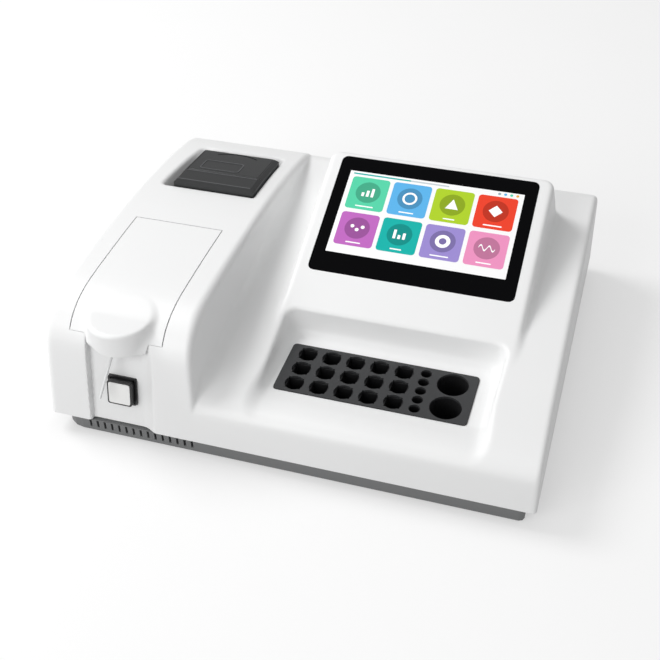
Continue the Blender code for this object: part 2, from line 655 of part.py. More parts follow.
def make_incubator():
    plate = block("plate", (PLATE_X - PLATE_WIDTH / 2, PLATE_Y - PLATE_LENGTH / 2, PLATE_Z),
                  (PLATE_X + PLATE_WIDTH / 2, PLATE_Y + PLATE_LENGTH / 2, PLATE_Z + PLATE_THICKNESS),
                  Matrix(), cutters, PLATE_RADIUS, 2)
    heat = block("heat", (BLOCK_LEFT_X, BLOCK_FRONT_Y, BLOCK_Z), (BLOCK_RIGHT_X, BLOCK_BACK_Y, BLOCK_TOP_Z))
    floor = BLOCK_TOP_Z - WELL_DEPTH
    half = CUVETTE_SQUARE / 2
    for x, y in CUVETTE_PLACES:
        cut(plate, rod("well", CUVETTE_ROUND / 2, (x, y, floor), (x, y, SKY_Z), sides=16),
            block("well", (x - half, y - half, floor), (x + half, y + half, SKY_Z)))
        cut(heat, block("well", (x - half, y - half, floor), (x + half, y + half, SKY_Z)))
    for places, radius, sides in ((TUBE_PLACES, TUBE_ROUND / 2, 12), (BOTTLE_PLACES, BOTTLE_ROUND / 2, 28)):
        for x, y in places:
            for piece in (plate, heat):
                cut(piece, rod("well", radius, (x, y, floor), (x, y, SKY_Z), sides=sides))
    dress(publish(plate), "incubator_plate", CHARCOAL, 0.55)
    dress(publish(heat), "incubator_block", BLACK, 0.5)
    pad = block("pad", (BLOCK_LEFT_X, BLOCK_FRONT_Y, PAD_Z),
                (BLOCK_RIGHT_X, BLOCK_BACK_Y, PAD_Z + PAD_THICKNESS), group=parts)
    dress(pad, "heater_pad", AMBER, 0.5)


# Screen: glass in the face of its housing, the display behind it and the pan that holds it

GLASS_SINK = 0.0028
DISPLAY_SIDE_IN = 0.00525
DISPLAY_END_IN = 0.0106
DISPLAY_UP = 0.0026
DISPLAY_THICKNESS = 0.0055
PAN_RIM = 0.006
PAN_FLOOR = 0.002
DISPLAY_WIDTH = GLASS_WIDTH - DISPLAY_SIDE_IN * 2
DISPLAY_HEIGHT = GLASS_HEIGHT - DISPLAY_END_IN * 2


def screen_plate(name, width, height, low, high, up=0.0, radius=0.0, group=cutters):
    return block(name, (-width / 2, up - height / 2, low), (width / 2, up + height / 2, high),
                 SCREEN_FRAME, group, radius, 2)


def make_screen():
    glass = screen_plate("glass", GLASS_WIDTH, GLASS_HEIGHT, -GLASS_THICKNESS, 0.0, 0.0, GLASS_RADIUS, parts)
    dress(glass, "screen_glass", BLACK, 0.06)
    front = -GLASS_SINK - GAP
    back = front - DISPLAY_THICKNESS
    display = screen_plate("display", DISPLAY_WIDTH, DISPLAY_HEIGHT, back, front, DISPLAY_UP, 0.0, parts)
    dress(display, "display_module", ALUMINIUM, 0.4, 1.0)
    low = back - GAP - PAN_FLOOR
    pan = screen_plate("pan", DISPLAY_WIDTH + PAN_RIM * 2, DISPLAY_HEIGHT + PAN_RIM * 2, low,
                       -WALL * 2 - GAP, DISPLAY_UP)
    cut(pan, screen_plate("pan", DISPLAY_WIDTH + GAP * 2, DISPLAY_HEIGHT + GAP * 2, low + PAN_FLOOR,
                          OVERRUN, DISPLAY_UP))
    dress(publish(pan), "display_bracket", STEEL, 0.4, 1.0)


def screen_openings():
    recess = screen_plate("recess", GLASS_WIDTH + SEAM * 2, GLASS_HEIGHT + SEAM * 2, -GLASS_SINK, OVERRUN,
                          0.0, GLASS_RADIUS + SEAM)
    hole = screen_plate("hole", DISPLAY_WIDTH + GAP * 2, DISPLAY_HEIGHT + GAP * 2, -OVERRUN, 0.0, DISPLAY_UP)
    return recess, hole


# Start button on the face of the sample channel: a black body in a black bezel, with a white lens

BUTTON_HEIGHT = 0.0447
BUTTON_RIGHT = 0.002
BEZEL_SIZE = 0.0250
BEZEL_EDGE = 0.003
BEZEL_THICKNESS = 0.0016
BEZEL_SLEEVE = 0.0236
BEZEL_LENGTH = 0.010
CAP_SIZE = 0.0210
CAP_RADIUS = 0.0020
CAP_PROUD = 0.0075
CAP_LENGTH = 0.014
CAP_TRAVEL = 0.002
LENS_WIDTH = 0.0184
LENS_THICKNESS = 0.0015
LENS_SINK = 0.0012
LENS_CORNER = 0.0015
SWITCH_SIZE = 0.014
SWITCH_LENGTH = 0.008
PLUNGER_RADIUS = 0.002
BUTTON_UP = (BUTTON_HEIGHT - COVER_EDGE_HEIGHT) / cos(CHANNEL_LEAN)
BUTTON_FRAME = CHANNEL_FRAME @ Matrix.Translation((BUTTON_RIGHT, BUTTON_UP, 0.0))


def button_block(name, size, low, high, radius=0.0, along=2, group=cutters):
    return block(name, (-size / 2, -size / 2, low), (size / 2, size / 2, high), BUTTON_FRAME, group, radius,
                 along, 3)


def make_button():
    bezel = button_block("bezel", BEZEL_SIZE, GAP, GAP + BEZEL_THICKNESS, BEZEL_EDGE)
    join(bezel, button_block("sleeve", BEZEL_SLEEVE, -BEZEL_LENGTH, BEZEL_THICKNESS / 2))
    cut(bezel, button_block("bore", CAP_SIZE + GAP * 2, -OVERRUN, OVERRUN))
    dress(publish(bezel), "button_bezel", BLACK, 0.35)
    cap = button_block("cap", CAP_SIZE, CAP_PROUD - CAP_LENGTH, CAP_PROUD, CAP_RADIUS)
    cut(cap, button_block("seat", LENS_WIDTH + GAP * 2, CAP_PROUD - LENS_SINK - GAP, OVERRUN,
                          LENS_CORNER + GAP))
    dress(publish(cap), "button_cap", BLACK, 0.35)
    back = CAP_PROUD - LENS_SINK
    lens = button_block("lens", LENS_WIDTH, back, back + LENS_THICKNESS, LENS_CORNER, 2, parts)
    dress(lens, "button_lens", WHITE, 0.3)
    top = -BEZEL_LENGTH - GAP
    switch = button_block("switch", SWITCH_SIZE, top - SWITCH_LENGTH, top)
    join(switch, button_block("flange", BEZEL_SLEEVE, top - WALL, top),
         rod("plunger", PLUNGER_RADIUS, (0, 0, top - WALL / 2),
             (0, 0, CAP_PROUD - CAP_LENGTH - CAP_TRAVEL - GAP), BUTTON_FRAME, sides=12))
    dress(publish(switch), "button_switch", CHARCOAL, 0.5)


# Sample probe: the holder hooked over the front wall, the needle and its hoses

NEEDLE_LEFT = 0.0553
NEEDLE_TIP_HEIGHT = 0.0488
NEEDLE_RISE = 0.0485
NEEDLE_RUN_X = 0.185
NEEDLE_RUN_Y = 0.495
NEEDLE_RUN_Z = 0.848
NEEDLE_RADIUS = 0.001
HOLDER_WIDTH = 0.016
HOLDER_DOWN = 0.014
HOLDER_BACK = 0.004
HOLDER_RISE = 0.0045
HOLDER_OUT = 0.007
HOSE_RADIUS = 0.0015
NEEDLE_WAY = Vector((NEEDLE_RUN_X, NEEDLE_RUN_Y, NEEDLE_RUN_Z)) / NEEDLE_RUN_Z
NEEDLE_SLANT = (NEEDLE_RUN_X ** 2 + NEEDLE_RUN_Z ** 2) ** (1 / 2)
NEEDLE_TIP = Vector((LEFT_X + NEEDLE_LEFT, FRONT_Y - NEEDLE_REACH + NEEDLE_RADIUS * NEEDLE_SLANT,
                     BASE_Z + NEEDLE_TIP_HEIGHT))
NEEDLE_TOP = NEEDLE_TIP + NEEDLE_WAY * NEEDLE_RISE


def make_probe():
    needle = rod("needle", NEEDLE_RADIUS, NEEDLE_TIP, NEEDLE_TOP, group=parts, sides=12)
    dress(needle, "aspiration_needle", STEEL, 0.25, 1.0)
    top = (LID_FRONT_Z - EDGE_Z) / cos(CHANNEL_LEAN)
    saddle = top + WALL * tan(CHANNEL_LEAN) + GAP
    behind = -WALL - GAP
    half = HOLDER_WIDTH / 2
    holder = block("tongue", (-half, top - HOLDER_DOWN, behind - HOLDER_BACK),
                   (half, saddle + HOLDER_RISE, behind), CHANNEL_FRAME)
    join(holder, block("saddle", (-half, saddle, behind - HOLDER_BACK),
                       (half, saddle + HOLDER_RISE, HOLDER_OUT), CHANNEL_FRAME))
    cut(holder, rod("bore", NEEDLE_RADIUS + GAP, NEEDLE_TIP, NEEDLE_TOP + NEEDLE_WAY * OVERRUN, sides=12))
    dress(publish(holder), "needle_holder", CHARCOAL, 0.5)


# Flow cell optics on a bench under the lid: lamp, filter wheel, cell, lens and detector

BENCH_LEFT = 0.0190
BENCH_WIDTH = 0.098
BENCH_FROM_FRONT = 0.034
BENCH_LENGTH = 0.110
BENCH_RISE = 0.0245
BENCH_THICKNESS = 0.005
BENCH_LEG = 0.010
BEAM_FROM_FRONT = 0.060
BEAM_RISE = 0.027
HOLDER_LEFT = 0.051
CELL_BLOCK_WIDTH = 0.024
CELL_BLOCK_LENGTH = 0.022
CELL_BLOCK_HEIGHT = 0.046
CELL_SIZE = 0.0125
CELL_HEIGHT = 0.036
CELL_PROUD = 0.002
BEAM_RADIUS = 0.0025
SINK_WIDTH = 0.015
SINK_LENGTH = 0.024
SINK_HEIGHT = 0.044
SINK_LEFT = 0.0198
FIN_COUNT = 5
FIN_GAP = 0.002
FIN_DEPTH = 0.007
LAMP_RADIUS = 0.006
LAMP_LENGTH = 0.014
LAMP_DEEP = 0.008
WHEEL_THICKNESS = 0.003
WHEEL_RADIUS = 0.0258
WHEEL_ORBIT = 0.0205
WHEEL_HOLES = 8
WHEEL_HOLE = 0.0045
WHEEL_LEFT = 0.043
FILTER_MOTOR_SIZE = 0.018
FILTER_MOTOR_LENGTH = 0.020
SHAFT_RADIUS = 0.0015
LENS_LENGTH = 0.012
LENS_RADIUS = 0.006
DETECTOR_THICKNESS = 0.0016
DETECTOR_LENGTH = 0.036
DETECTOR_HEIGHT = 0.042
PUMP_FROM_LEFT = 0.078
PUMP_FROM_FRONT = 0.1195
PUMP_RADIUS = 0.021
PUMP_BORE = 0.017
PUMP_MOTOR_RADIUS = 0.016
PUMP_MOTOR_HEIGHT = 0.030
PUMP_HEAD_HEIGHT = 0.018
PUMP_FLOOR = 0.002
PUMP_SHAFT = 0.012
ROTOR_RADIUS = 0.009
ROTOR_ROLLER = 0.005
ROTOR_ROLLERS = 3
ROTOR_ORBIT = 0.010
ROTOR_HEIGHT = 0.011
ROTOR_LIFT = 0.001
BENCH_LEFT_X = LEFT_X + BENCH_LEFT
BENCH_RIGHT_X = BENCH_LEFT_X + BENCH_WIDTH
BENCH_FRONT_Y = FRONT_Y + BENCH_FROM_FRONT
BENCH_BACK_Y = BENCH_FRONT_Y + BENCH_LENGTH
BENCH_Z = FLOOR_Z + BENCH_RISE
BENCH_TOP_Z = BENCH_Z + BENCH_THICKNESS
BEAM_Y = FRONT_Y + BEAM_FROM_FRONT
BEAM_Z = BENCH_TOP_Z + BEAM_RISE
CELL_LEFT_X = LEFT_X + HOLDER_LEFT
CELL_RIGHT_X = CELL_LEFT_X + CELL_BLOCK_WIDTH
CELL_X = (CELL_LEFT_X + CELL_RIGHT_X) / 2
CELL_TOP_Z = BENCH_TOP_Z + GAP + CELL_BLOCK_HEIGHT + CELL_PROUD
WHEEL_X = LEFT_X + WHEEL_LEFT
WHEEL_Y = BEAM_Y + WHEEL_ORBIT
PUMP_X = LEFT_X + PUMP_FROM_LEFT
PUMP_Y = FRONT_Y + PUMP_FROM_FRONT
PUMP_MOTOR_Z = BENCH_TOP_Z + GAP
PUMP_HEAD_Z = PUMP_MOTOR_Z + PUMP_MOTOR_HEIGHT + GAP
ROTOR_Z = PUMP_HEAD_Z + PUMP_FLOOR + ROTOR_LIFT


def make_optics():
    bench = block("bench", (BENCH_LEFT_X, BENCH_FRONT_Y, BENCH_Z), (BENCH_RIGHT_X, BENCH_BACK_Y, BENCH_TOP_Z))
    leg_top = BENCH_Z + BENCH_THICKNESS / 2
    for x in (BENCH_LEFT_X, BENCH_RIGHT_X - BENCH_LEG):
        for y in (BENCH_FRONT_Y, BENCH_BACK_Y - BENCH_LEG):
            join(bench, block("leg", (x, y, FLOOR_Z + GAP), (x + BENCH_LEG, y + BENCH_LEG, leg_top)))
    dress(publish(bench), "optical_bench", ALUMINIUM, 0.35, 1.0)
    stand = BENCH_TOP_Z + GAP

    holder = block("holder", (CELL_LEFT_X, BEAM_Y - CELL_BLOCK_LENGTH / 2, stand),
                   (CELL_RIGHT_X, BEAM_Y + CELL_BLOCK_LENGTH / 2, stand + CELL_BLOCK_HEIGHT))
    half = CELL_SIZE / 2
    low = CELL_TOP_Z - CELL_HEIGHT
    cut(holder, block("seat", (CELL_X - half - GAP, BEAM_Y - half - GAP, low - GAP),
                      (CELL_X + half + GAP, BEAM_Y + half + GAP, SKY_Z)),
        rod("beam", BEAM_RADIUS, (CELL_LEFT_X - OVERRUN, BEAM_Y, BEAM_Z),
            (CELL_RIGHT_X + OVERRUN, BEAM_Y, BEAM_Z), sides=16))
    dress(publish(holder), "flow_cell_holder", BLACK, 0.5)
    cell = block("cell", (CELL_X - half, BEAM_Y - half, low), (CELL_X + half, BEAM_Y + half, CELL_TOP_Z),
                 group=parts)
    dress(cell, "flow_cell", CLEAR, 0.08)

    sink_x = LEFT_X + SINK_LEFT
    sink = block("sink", (sink_x, BEAM_Y - SINK_LENGTH / 2, stand),
                 (sink_x + SINK_WIDTH, BEAM_Y + SINK_LENGTH / 2, stand + SINK_HEIGHT))
    for i in range(FIN_COUNT):
        y = BEAM_Y - SINK_LENGTH / 2 + SINK_LENGTH * (i + 1) / (FIN_COUNT + 1)
        cut(sink, block("fin", (sink_x - OVERRUN, y - FIN_GAP / 2, stand + FIN_DEPTH),
                        (sink_x + FIN_DEPTH - GAP, y + FIN_GAP / 2, SKY_Z)))
    lamp_x = sink_x + SINK_WIDTH - LAMP_DEEP + GAP
    cut(sink, rod("seat", LAMP_RADIUS + GAP, (lamp_x - GAP, BEAM_Y, BEAM_Z),
                  (lamp_x + OVERRUN, BEAM_Y, BEAM_Z)))
    dress(publish(sink), "lamp_heat_sink", ALUMINIUM, 0.4, 1.0)
    lamp = rod("lamp", LAMP_RADIUS, (lamp_x, BEAM_Y, BEAM_Z), (lamp_x + LAMP_LENGTH, BEAM_Y, BEAM_Z),
               group=parts)
    dress(lamp, "lamp", CLEAR, 0.1)

    wheel = rod("wheel", WHEEL_RADIUS, (WHEEL_X, WHEEL_Y, BEAM_Z),
                (WHEEL_X + WHEEL_THICKNESS, WHEEL_Y, BEAM_Z), sides=40)
    for i in range(WHEEL_HOLES):
        turn = pi + 2 * pi * i / WHEEL_HOLES
        y, z = WHEEL_Y + WHEEL_ORBIT * cos(turn), BEAM_Z + WHEEL_ORBIT * sin(turn)
        cut(wheel, rod("filter", WHEEL_HOLE, (WHEEL_X - OVERRUN, y, z), (WHEEL_X + OVERRUN, y, z), sides=14))
    cut(wheel, rod("bore", SHAFT_RADIUS + GAP, (WHEEL_X - OVERRUN, WHEEL_Y, BEAM_Z),
                   (WHEEL_X + OVERRUN, WHEEL_Y, BEAM_Z), sides=12))
    dress(publish(wheel), "filter_wheel", BLACK, 0.5)
    move_origin(wheel, (WHEEL_X, WHEEL_Y, BEAM_Z))
    motor_x = WHEEL_X + WHEEL_THICKNESS + GAP
    half = FILTER_MOTOR_SIZE / 2
    motor = block("motor", (motor_x, WHEEL_Y - half, stand),
                  (motor_x + FILTER_MOTOR_LENGTH, WHEEL_Y + half, BEAM_Z + half))
    join(motor, rod("shaft", SHAFT_RADIUS, (WHEEL_X - GAP, WHEEL_Y, BEAM_Z), (motor_x + half, WHEEL_Y, BEAM_Z),
                    sides=12))
    dress(publish(motor), "filter_motor", CHARCOAL, 0.4)

    lens_x = CELL_RIGHT_X + GAP
    lens = rod("lens", LENS_RADIUS, (lens_x, BEAM_Y, BEAM_Z), (lens_x + LENS_LENGTH, BEAM_Y, BEAM_Z))
    join(lens, block("mount", (lens_x + GAP, BEAM_Y - LENS_RADIUS / 2, stand),
                     (lens_x + LENS_LENGTH - GAP, BEAM_Y + LENS_RADIUS / 2, BEAM_Z)))
    dress(publish(lens), "lens_barrel", BLACK, 0.4)
    board_x = lens_x + LENS_LENGTH + GAP
    board = block("board", (board_x, BEAM_Y - DETECTOR_LENGTH / 2, stand),
                  (board_x + DETECTOR_THICKNESS, BEAM_Y + DETECTOR_LENGTH / 2, stand + DETECTOR_HEIGHT),
                  group=parts)
    dress(board, "detector_board", GREEN, 0.4)


def make_pump():
    motor = rod("motor", PUMP_MOTOR_RADIUS, (PUMP_X, PUMP_Y, PUMP_MOTOR_Z),
                (PUMP_X, PUMP_Y, PUMP_MOTOR_Z + PUMP_MOTOR_HEIGHT), sides=28)
    join(motor, rod("shaft", SHAFT_RADIUS, (PUMP_X, PUMP_Y, PUMP_MOTOR_Z + PUMP_MOTOR_HEIGHT / 2),
                    (PUMP_X, PUMP_Y, PUMP_HEAD_Z + PUMP_SHAFT), sides=12))
    dress(publish(motor), "pump_motor", STEEL, 0.35, 1.0)
    head = rod("head", PUMP_RADIUS, (PUMP_X, PUMP_Y, PUMP_HEAD_Z),
               (PUMP_X, PUMP_Y, PUMP_HEAD_Z + PUMP_HEAD_HEIGHT), sides=32)
    cut(head, rod("bore", PUMP_BORE, (PUMP_X, PUMP_Y, PUMP_HEAD_Z + PUMP_FLOOR), (PUMP_X, PUMP_Y, SKY_Z),
                  sides=32),
        rod("hole", SHAFT_RADIUS + GAP, (PUMP_X, PUMP_Y, PUMP_MOTOR_Z), (PUMP_X, PUMP_Y, SKY_Z), sides=12))
    dress(publish(head), "pump_head", CLEAR, 0.3)
    top = ROTOR_Z + ROTOR_HEIGHT
    rotor = rod("rotor", ROTOR_RADIUS, (PUMP_X, PUMP_Y, ROTOR_Z), (PUMP_X, PUMP_Y, top), sides=20)
    for i in range(ROTOR_ROLLERS):
        turn = 2 * pi * i / ROTOR_ROLLERS
        x, y = PUMP_X + ROTOR_ORBIT * cos(turn), PUMP_Y + ROTOR_ORBIT * sin(turn)
        join(rotor, rod("roller", ROTOR_ROLLER, (x, y, ROTOR_Z), (x, y, top), sides=14))
    cut(rotor, rod("seat", SHAFT_RADIUS + GAP, (PUMP_X, PUMP_Y, PUMP_MOTOR_Z),
                   (PUMP_X, PUMP_Y, PUMP_HEAD_Z + PUMP_SHAFT + GAP), sides=12))
    dress(publish(rotor), "pump_rotor", WHITE, 0.4)
    move_origin(rotor, (PUMP_X, PUMP_Y, ROTOR_Z))


# Printer: the body through the floor of its pocket, the door over the paper bin, and its insides

PRINTER_LENGTH = 0.0700
PRINTER_RIDGE = 0.0225
PRINTER_TOP = 0.1160
PRINTER_RIDGE_TOP = 0.1142
PRINTER_BACK_TOP = 0.1078
PRINTER_CHAMFER = 0.003
BIN_DROP = 0.0395
BIN_SIDE_IN = 0.006
BIN_FRONT_IN = 0.006
BIN_BACK_IN = 0.003
BIN_WALL = 0.0025
ROLL_RADIUS = 0.0190
ROLL_WIDTH = 0.057
ROLL_CORE = 0.006
ROLL_SIDE = 0.0007
DOOR_SIDE_IN = 0.0042
DOOR_THICKNESS = 0.0025
DOOR_AXIS_BACK = 0.0031
DOOR_LENGTH = 0.0420
DOOR_PIN_RADIUS = 0.001
DOOR_PIN_SEAT = 0.0025
FINGER_WIDTH = 0.039
FINGER_ARC = 0.0389
FINGER_SLOT = 0.0012
FINGER_BACK = 0.0405
PLATEN_RADIUS = 0.004
PLATEN_AXLE = 0.0012
PLATEN_SEAT = 0.002
PLATEN_BACK = 0.0165
PLATEN_DOWN = 0.0125
HEAD_HEIGHT = 0.008
CHAMBER_HALF = 0.0060
PAPER_SLOT = 0.0008
PRINTER_LEFT_X = POCKET_LEFT_X + POCKET_LEFT_ROOM
PRINTER_RIGHT_X = PRINTER_LEFT_X + PRINTER_WIDTH
PRINTER_MID_X = (PRINTER_LEFT_X + PRINTER_RIGHT_X) / 2
PRINTER_FRONT_Y = POCKET_FRONT_Y + SEAM
PRINTER_BACK_Y = PRINTER_FRONT_Y + PRINTER_LENGTH
RIDGE_Y = PRINTER_FRONT_Y + PRINTER_RIDGE
PRINTER_TOP_Z = BASE_Z + PRINTER_TOP
RIDGE_Z = BASE_Z + PRINTER_RIDGE_TOP
PRINTER_BACK_Z = BASE_Z + PRINTER_BACK_TOP
SLOPE = atan2(RIDGE_Z - PRINTER_BACK_Z, PRINTER_LENGTH - PRINTER_RIDGE)
DOOR_AXIS_Y = RIDGE_Y + DOOR_AXIS_BACK
DOOR_AXIS_Z = RIDGE_Z - DOOR_AXIS_BACK * tan(SLOPE) - DOOR_THICKNESS / cos(SLOPE)
DOOR_FRAME = Matrix.Translation((PRINTER_MID_X, DOOR_AXIS_Y, DOOR_AXIS_Z)) @ Matrix.Rotation(-SLOPE, 4, "X")
BIN_LEFT_X = PRINTER_LEFT_X + BIN_SIDE_IN
BIN_RIGHT_X = PRINTER_RIGHT_X - BIN_SIDE_IN
BIN_FRONT_Y = PRINTER_FRONT_Y + BIN_FRONT_IN
BIN_BACK_Y = PRINTER_BACK_Y - BIN_BACK_IN
BIN_Z = POCKET_FLOOR_Z - BIN_DROP
ROLL_Y = BIN_BACK_Y - BIN_WALL - GAP - ROLL_RADIUS
ROLL_Z = BIN_Z + BIN_WALL + GAP + ROLL_RADIUS
PLATEN_Y = PRINTER_FRONT_Y + PLATEN_BACK
PLATEN_Z = PRINTER_TOP_Z - PLATEN_DOWN
INSIDE_HALF = ROLL_WIDTH / 2 + ROLL_SIDE


def make_printer():
    outline = (
        (PRINTER_FRONT_Y, POCKET_FLOOR_Z + GAP),
        (PRINTER_FRONT_Y, PRINTER_TOP_Z),
        (RIDGE_Y, RIDGE_Z),
        (PRINTER_BACK_Y, PRINTER_BACK_Z),
        (PRINTER_BACK_Y, POCKET_FLOOR_Z + GAP),
    )
    body = prism("printer", outline, PRINTER_LEFT_X, PRINTER_RIGHT_X, SIDE_VIEW)
    middle = (POCKET_FLOOR_Z + PRINTER_BACK_Z) / 2
    half = PRINTER_WIDTH / 2
    round_edges(body, PRINTER_CHAMFER, 1, lambda a, b: min(a.y, b.y) > middle and (
        a.z * b.z > 0 or abs(a.x - b.x) < GAP) and not (abs(a.x - RIDGE_Y) < GAP and abs(b.x - RIDGE_Y) < GAP))
    join(body, block("bin", (BIN_LEFT_X, BIN_FRONT_Y, BIN_Z), (BIN_RIGHT_X, BIN_BACK_Y, POCKET_FLOOR_Z + WALL)))
    door_half = half - DOOR_SIDE_IN
    space = door_half + SEAM
    axle_half = INSIDE_HALF + PLATEN_SEAT
    cut(body,
        block("bin_space", (PRINTER_MID_X - INSIDE_HALF, ROLL_Y - ROLL_RADIUS - GAP, BIN_Z + BIN_WALL),
              (PRINTER_MID_X + INSIDE_HALF, BIN_BACK_Y - BIN_WALL, SKY_Z)),
        block("chamber", (PRINTER_MID_X - INSIDE_HALF, PLATEN_Y - CHAMBER_HALF, PLATEN_Z - CHAMBER_HALF),
              (PRINTER_MID_X + INSIDE_HALF, ROLL_Y, PLATEN_Z + CHAMBER_HALF)),
        block("door_space", (-space, 0.0, -GAP), (space, DOOR_LENGTH + SEAM, OVERRUN), DOOR_FRAME),
        rod("knuckle_space", DOOR_THICKNESS + PAPER_SLOT, (-space, 0, 0), (space, 0, 0), DOOR_FRAME, sides=20),
        block("over_knuckle", (PRINTER_MID_X - space, DOOR_AXIS_Y - DOOR_THICKNESS - PAPER_SLOT, DOOR_AXIS_Z),
              (PRINTER_MID_X + space, DOOR_AXIS_Y + DOOR_THICKNESS, SKY_Z)),
        rod("pin_hole", DOOR_PIN_RADIUS + GAP, (-door_half - DOOR_PIN_SEAT - GAP, 0, 0),
            (door_half + DOOR_PIN_SEAT + GAP, 0, 0), DOOR_FRAME, sides=12),
        rod("axle_hole", PLATEN_AXLE + GAP, (PRINTER_MID_X - axle_half - GAP, PLATEN_Y, PLATEN_Z),
            (PRINTER_MID_X + axle_half + GAP, PLATEN_Y, PLATEN_Z), sides=12))
    dress(publish(body), "printer_housing", CHARCOAL, 0.5)

    door = block("door", (-door_half, 0.0, 0.0), (door_half, DOOR_LENGTH, DOOR_THICKNESS), DOOR_FRAME)
    join(door, rod("knuckle", DOOR_THICKNESS, (-door_half, 0, 0), (door_half, 0, 0), DOOR_FRAME, sides=20))
    cut(door, rod("bore", DOOR_PIN_RADIUS + GAP, (-door_half - OVERRUN, 0, 0),
                  (door_half + OVERRUN, 0, 0), DOOR_FRAME, sides=12))
    low, high = (0, FINGER_BACK - FINGER_ARC, -OVERRUN), (0, FINGER_BACK - FINGER_ARC, OVERRUN)
    arc = rod("arc", FINGER_ARC + FINGER_SLOT / 2, low, high, DOOR_FRAME, sides=72)
    cut(arc, rod("arc", FINGER_ARC - FINGER_SLOT / 2, low, high, DOOR_FRAME, sides=72))
    keep(arc, block("span", (-FINGER_WIDTH / 2, 0.0, -OVERRUN), (FINGER_WIDTH / 2, DOOR_LENGTH, OVERRUN),
                    DOOR_FRAME))
    cut(door, arc)
    dress(publish(door), "printer_door", CHARCOAL, 0.5)
    move_origin(door, (PRINTER_MID_X, DOOR_AXIS_Y, DOOR_AXIS_Z))
    pin = rod("pin", DOOR_PIN_RADIUS, (-door_half - DOOR_PIN_SEAT, 0, 0), (door_half + DOOR_PIN_SEAT, 0, 0),
              DOOR_FRAME, parts, 12)
    dress(pin, "door_hinge_pin", STEEL, 0.3, 1.0)

    half = ROLL_WIDTH / 2
    roll = rod("roll", ROLL_RADIUS, (PRINTER_MID_X - half, ROLL_Y, ROLL_Z),
               (PRINTER_MID_X + half, ROLL_Y, ROLL_Z), sides=36)
    cut(roll, rod("core", ROLL_CORE, (PRINTER_MID_X - half - OVERRUN, ROLL_Y, ROLL_Z),
                  (PRINTER_MID_X + half + OVERRUN, ROLL_Y, ROLL_Z), sides=20))
    dress(publish(roll), "paper_roll", PAPER, 0.85)
    move_origin(roll, (PRINTER_MID_X, ROLL_Y, ROLL_Z))
    platen = rod("platen", PLATEN_RADIUS, (PRINTER_MID_X - half, PLATEN_Y, PLATEN_Z),
                 (PRINTER_MID_X + half, PLATEN_Y, PLATEN_Z))
    join(platen, rod("axle", PLATEN_AXLE, (PRINTER_MID_X - axle_half, PLATEN_Y, PLATEN_Z),
                     (PRINTER_MID_X + axle_half, PLATEN_Y, PLATEN_Z), sides=12))
    dress(publish(platen), "platen_roller", BLACK, 0.7)
    move_origin(platen, (PRINTER_MID_X, PLATEN_Y, PLATEN_Z))
    low_y, low_z = PLATEN_Y - CHAMBER_HALF + GAP, PLATEN_Z - CHAMBER_HALF + GAP
    head = block("head", (PRINTER_MID_X - half, low_y, low_z),
                 (PRINTER_MID_X + half, PLATEN_Y - PLATEN_RADIUS - GAP, low_z + HEAD_HEIGHT), group=parts)
    dress(head, "print_head", STEEL, 0.4, 1.0)


# Electronics on the tray: the main board, the power supply and the fan

BOARD_LEFT = 0.150
BOARD_FROM_SUPPLY = 0.018
BOARD_FROM_FRONT = 0.145
BOARD_LENGTH = 0.120
BOARD_RISE = 0.006
BOARD_THICKNESS = 0.0016
CHIP_SIZE = 0.020
CHIP_HEIGHT = 0.003
SUPPLY_FROM_RIGHT = 0.032
SUPPLY_WIDTH = 0.100
SUPPLY_FROM_FRONT = 0.190
SUPPLY_LENGTH = 0.062
SUPPLY_HEIGHT = 0.034
SUPPLY_RADIUS = 0.002
FAN_FROM_LEFT = 0.036
FAN_SIZE = 0.060
FAN_DEPTH = 0.015
FAN_BORE = 0.028
FAN_CORNER = 0.003
FAN_SPOKE = 0.004
FAN_SPOKE_DEPTH = 0.003
FAN_HUB = 0.012
FAN_BLADE = 0.026
FAN_BLADES = 7
FAN_BLADE_THICKNESS = 0.0012
FAN_BLADE_TURN = radians(35)
FAN_BLADE_SHARE = 0.9
FAN_LIFT = 0.001
GRILLE_SLOTS = 9
GRILLE_PITCH = 0.006
GRILLE_WIDTH = 0.003
GRILLE_HEIGHT = 0.042
BOARD_LEFT_X = LEFT_X + BOARD_LEFT
SUPPLY_LEFT_X = RIGHT_X - SUPPLY_FROM_RIGHT - SUPPLY_WIDTH
BOARD_RIGHT_X = SUPPLY_LEFT_X - BOARD_FROM_SUPPLY
BOARD_FRONT_Y = FRONT_Y + BOARD_FROM_FRONT
BOARD_BACK_Y = BOARD_FRONT_Y + BOARD_LENGTH
BOARD_Z = FLOOR_Z + BOARD_RISE
FAN_X = LEFT_X + FAN_FROM_LEFT + FAN_SIZE / 2
FAN_BACK_Y = LIP_REAR_Y - TRAY_LIP_WALL - GAP
FAN_FRONT_Y = FAN_BACK_Y - FAN_DEPTH
FAN_Z = FLOOR_Z + GAP + FAN_SIZE / 2


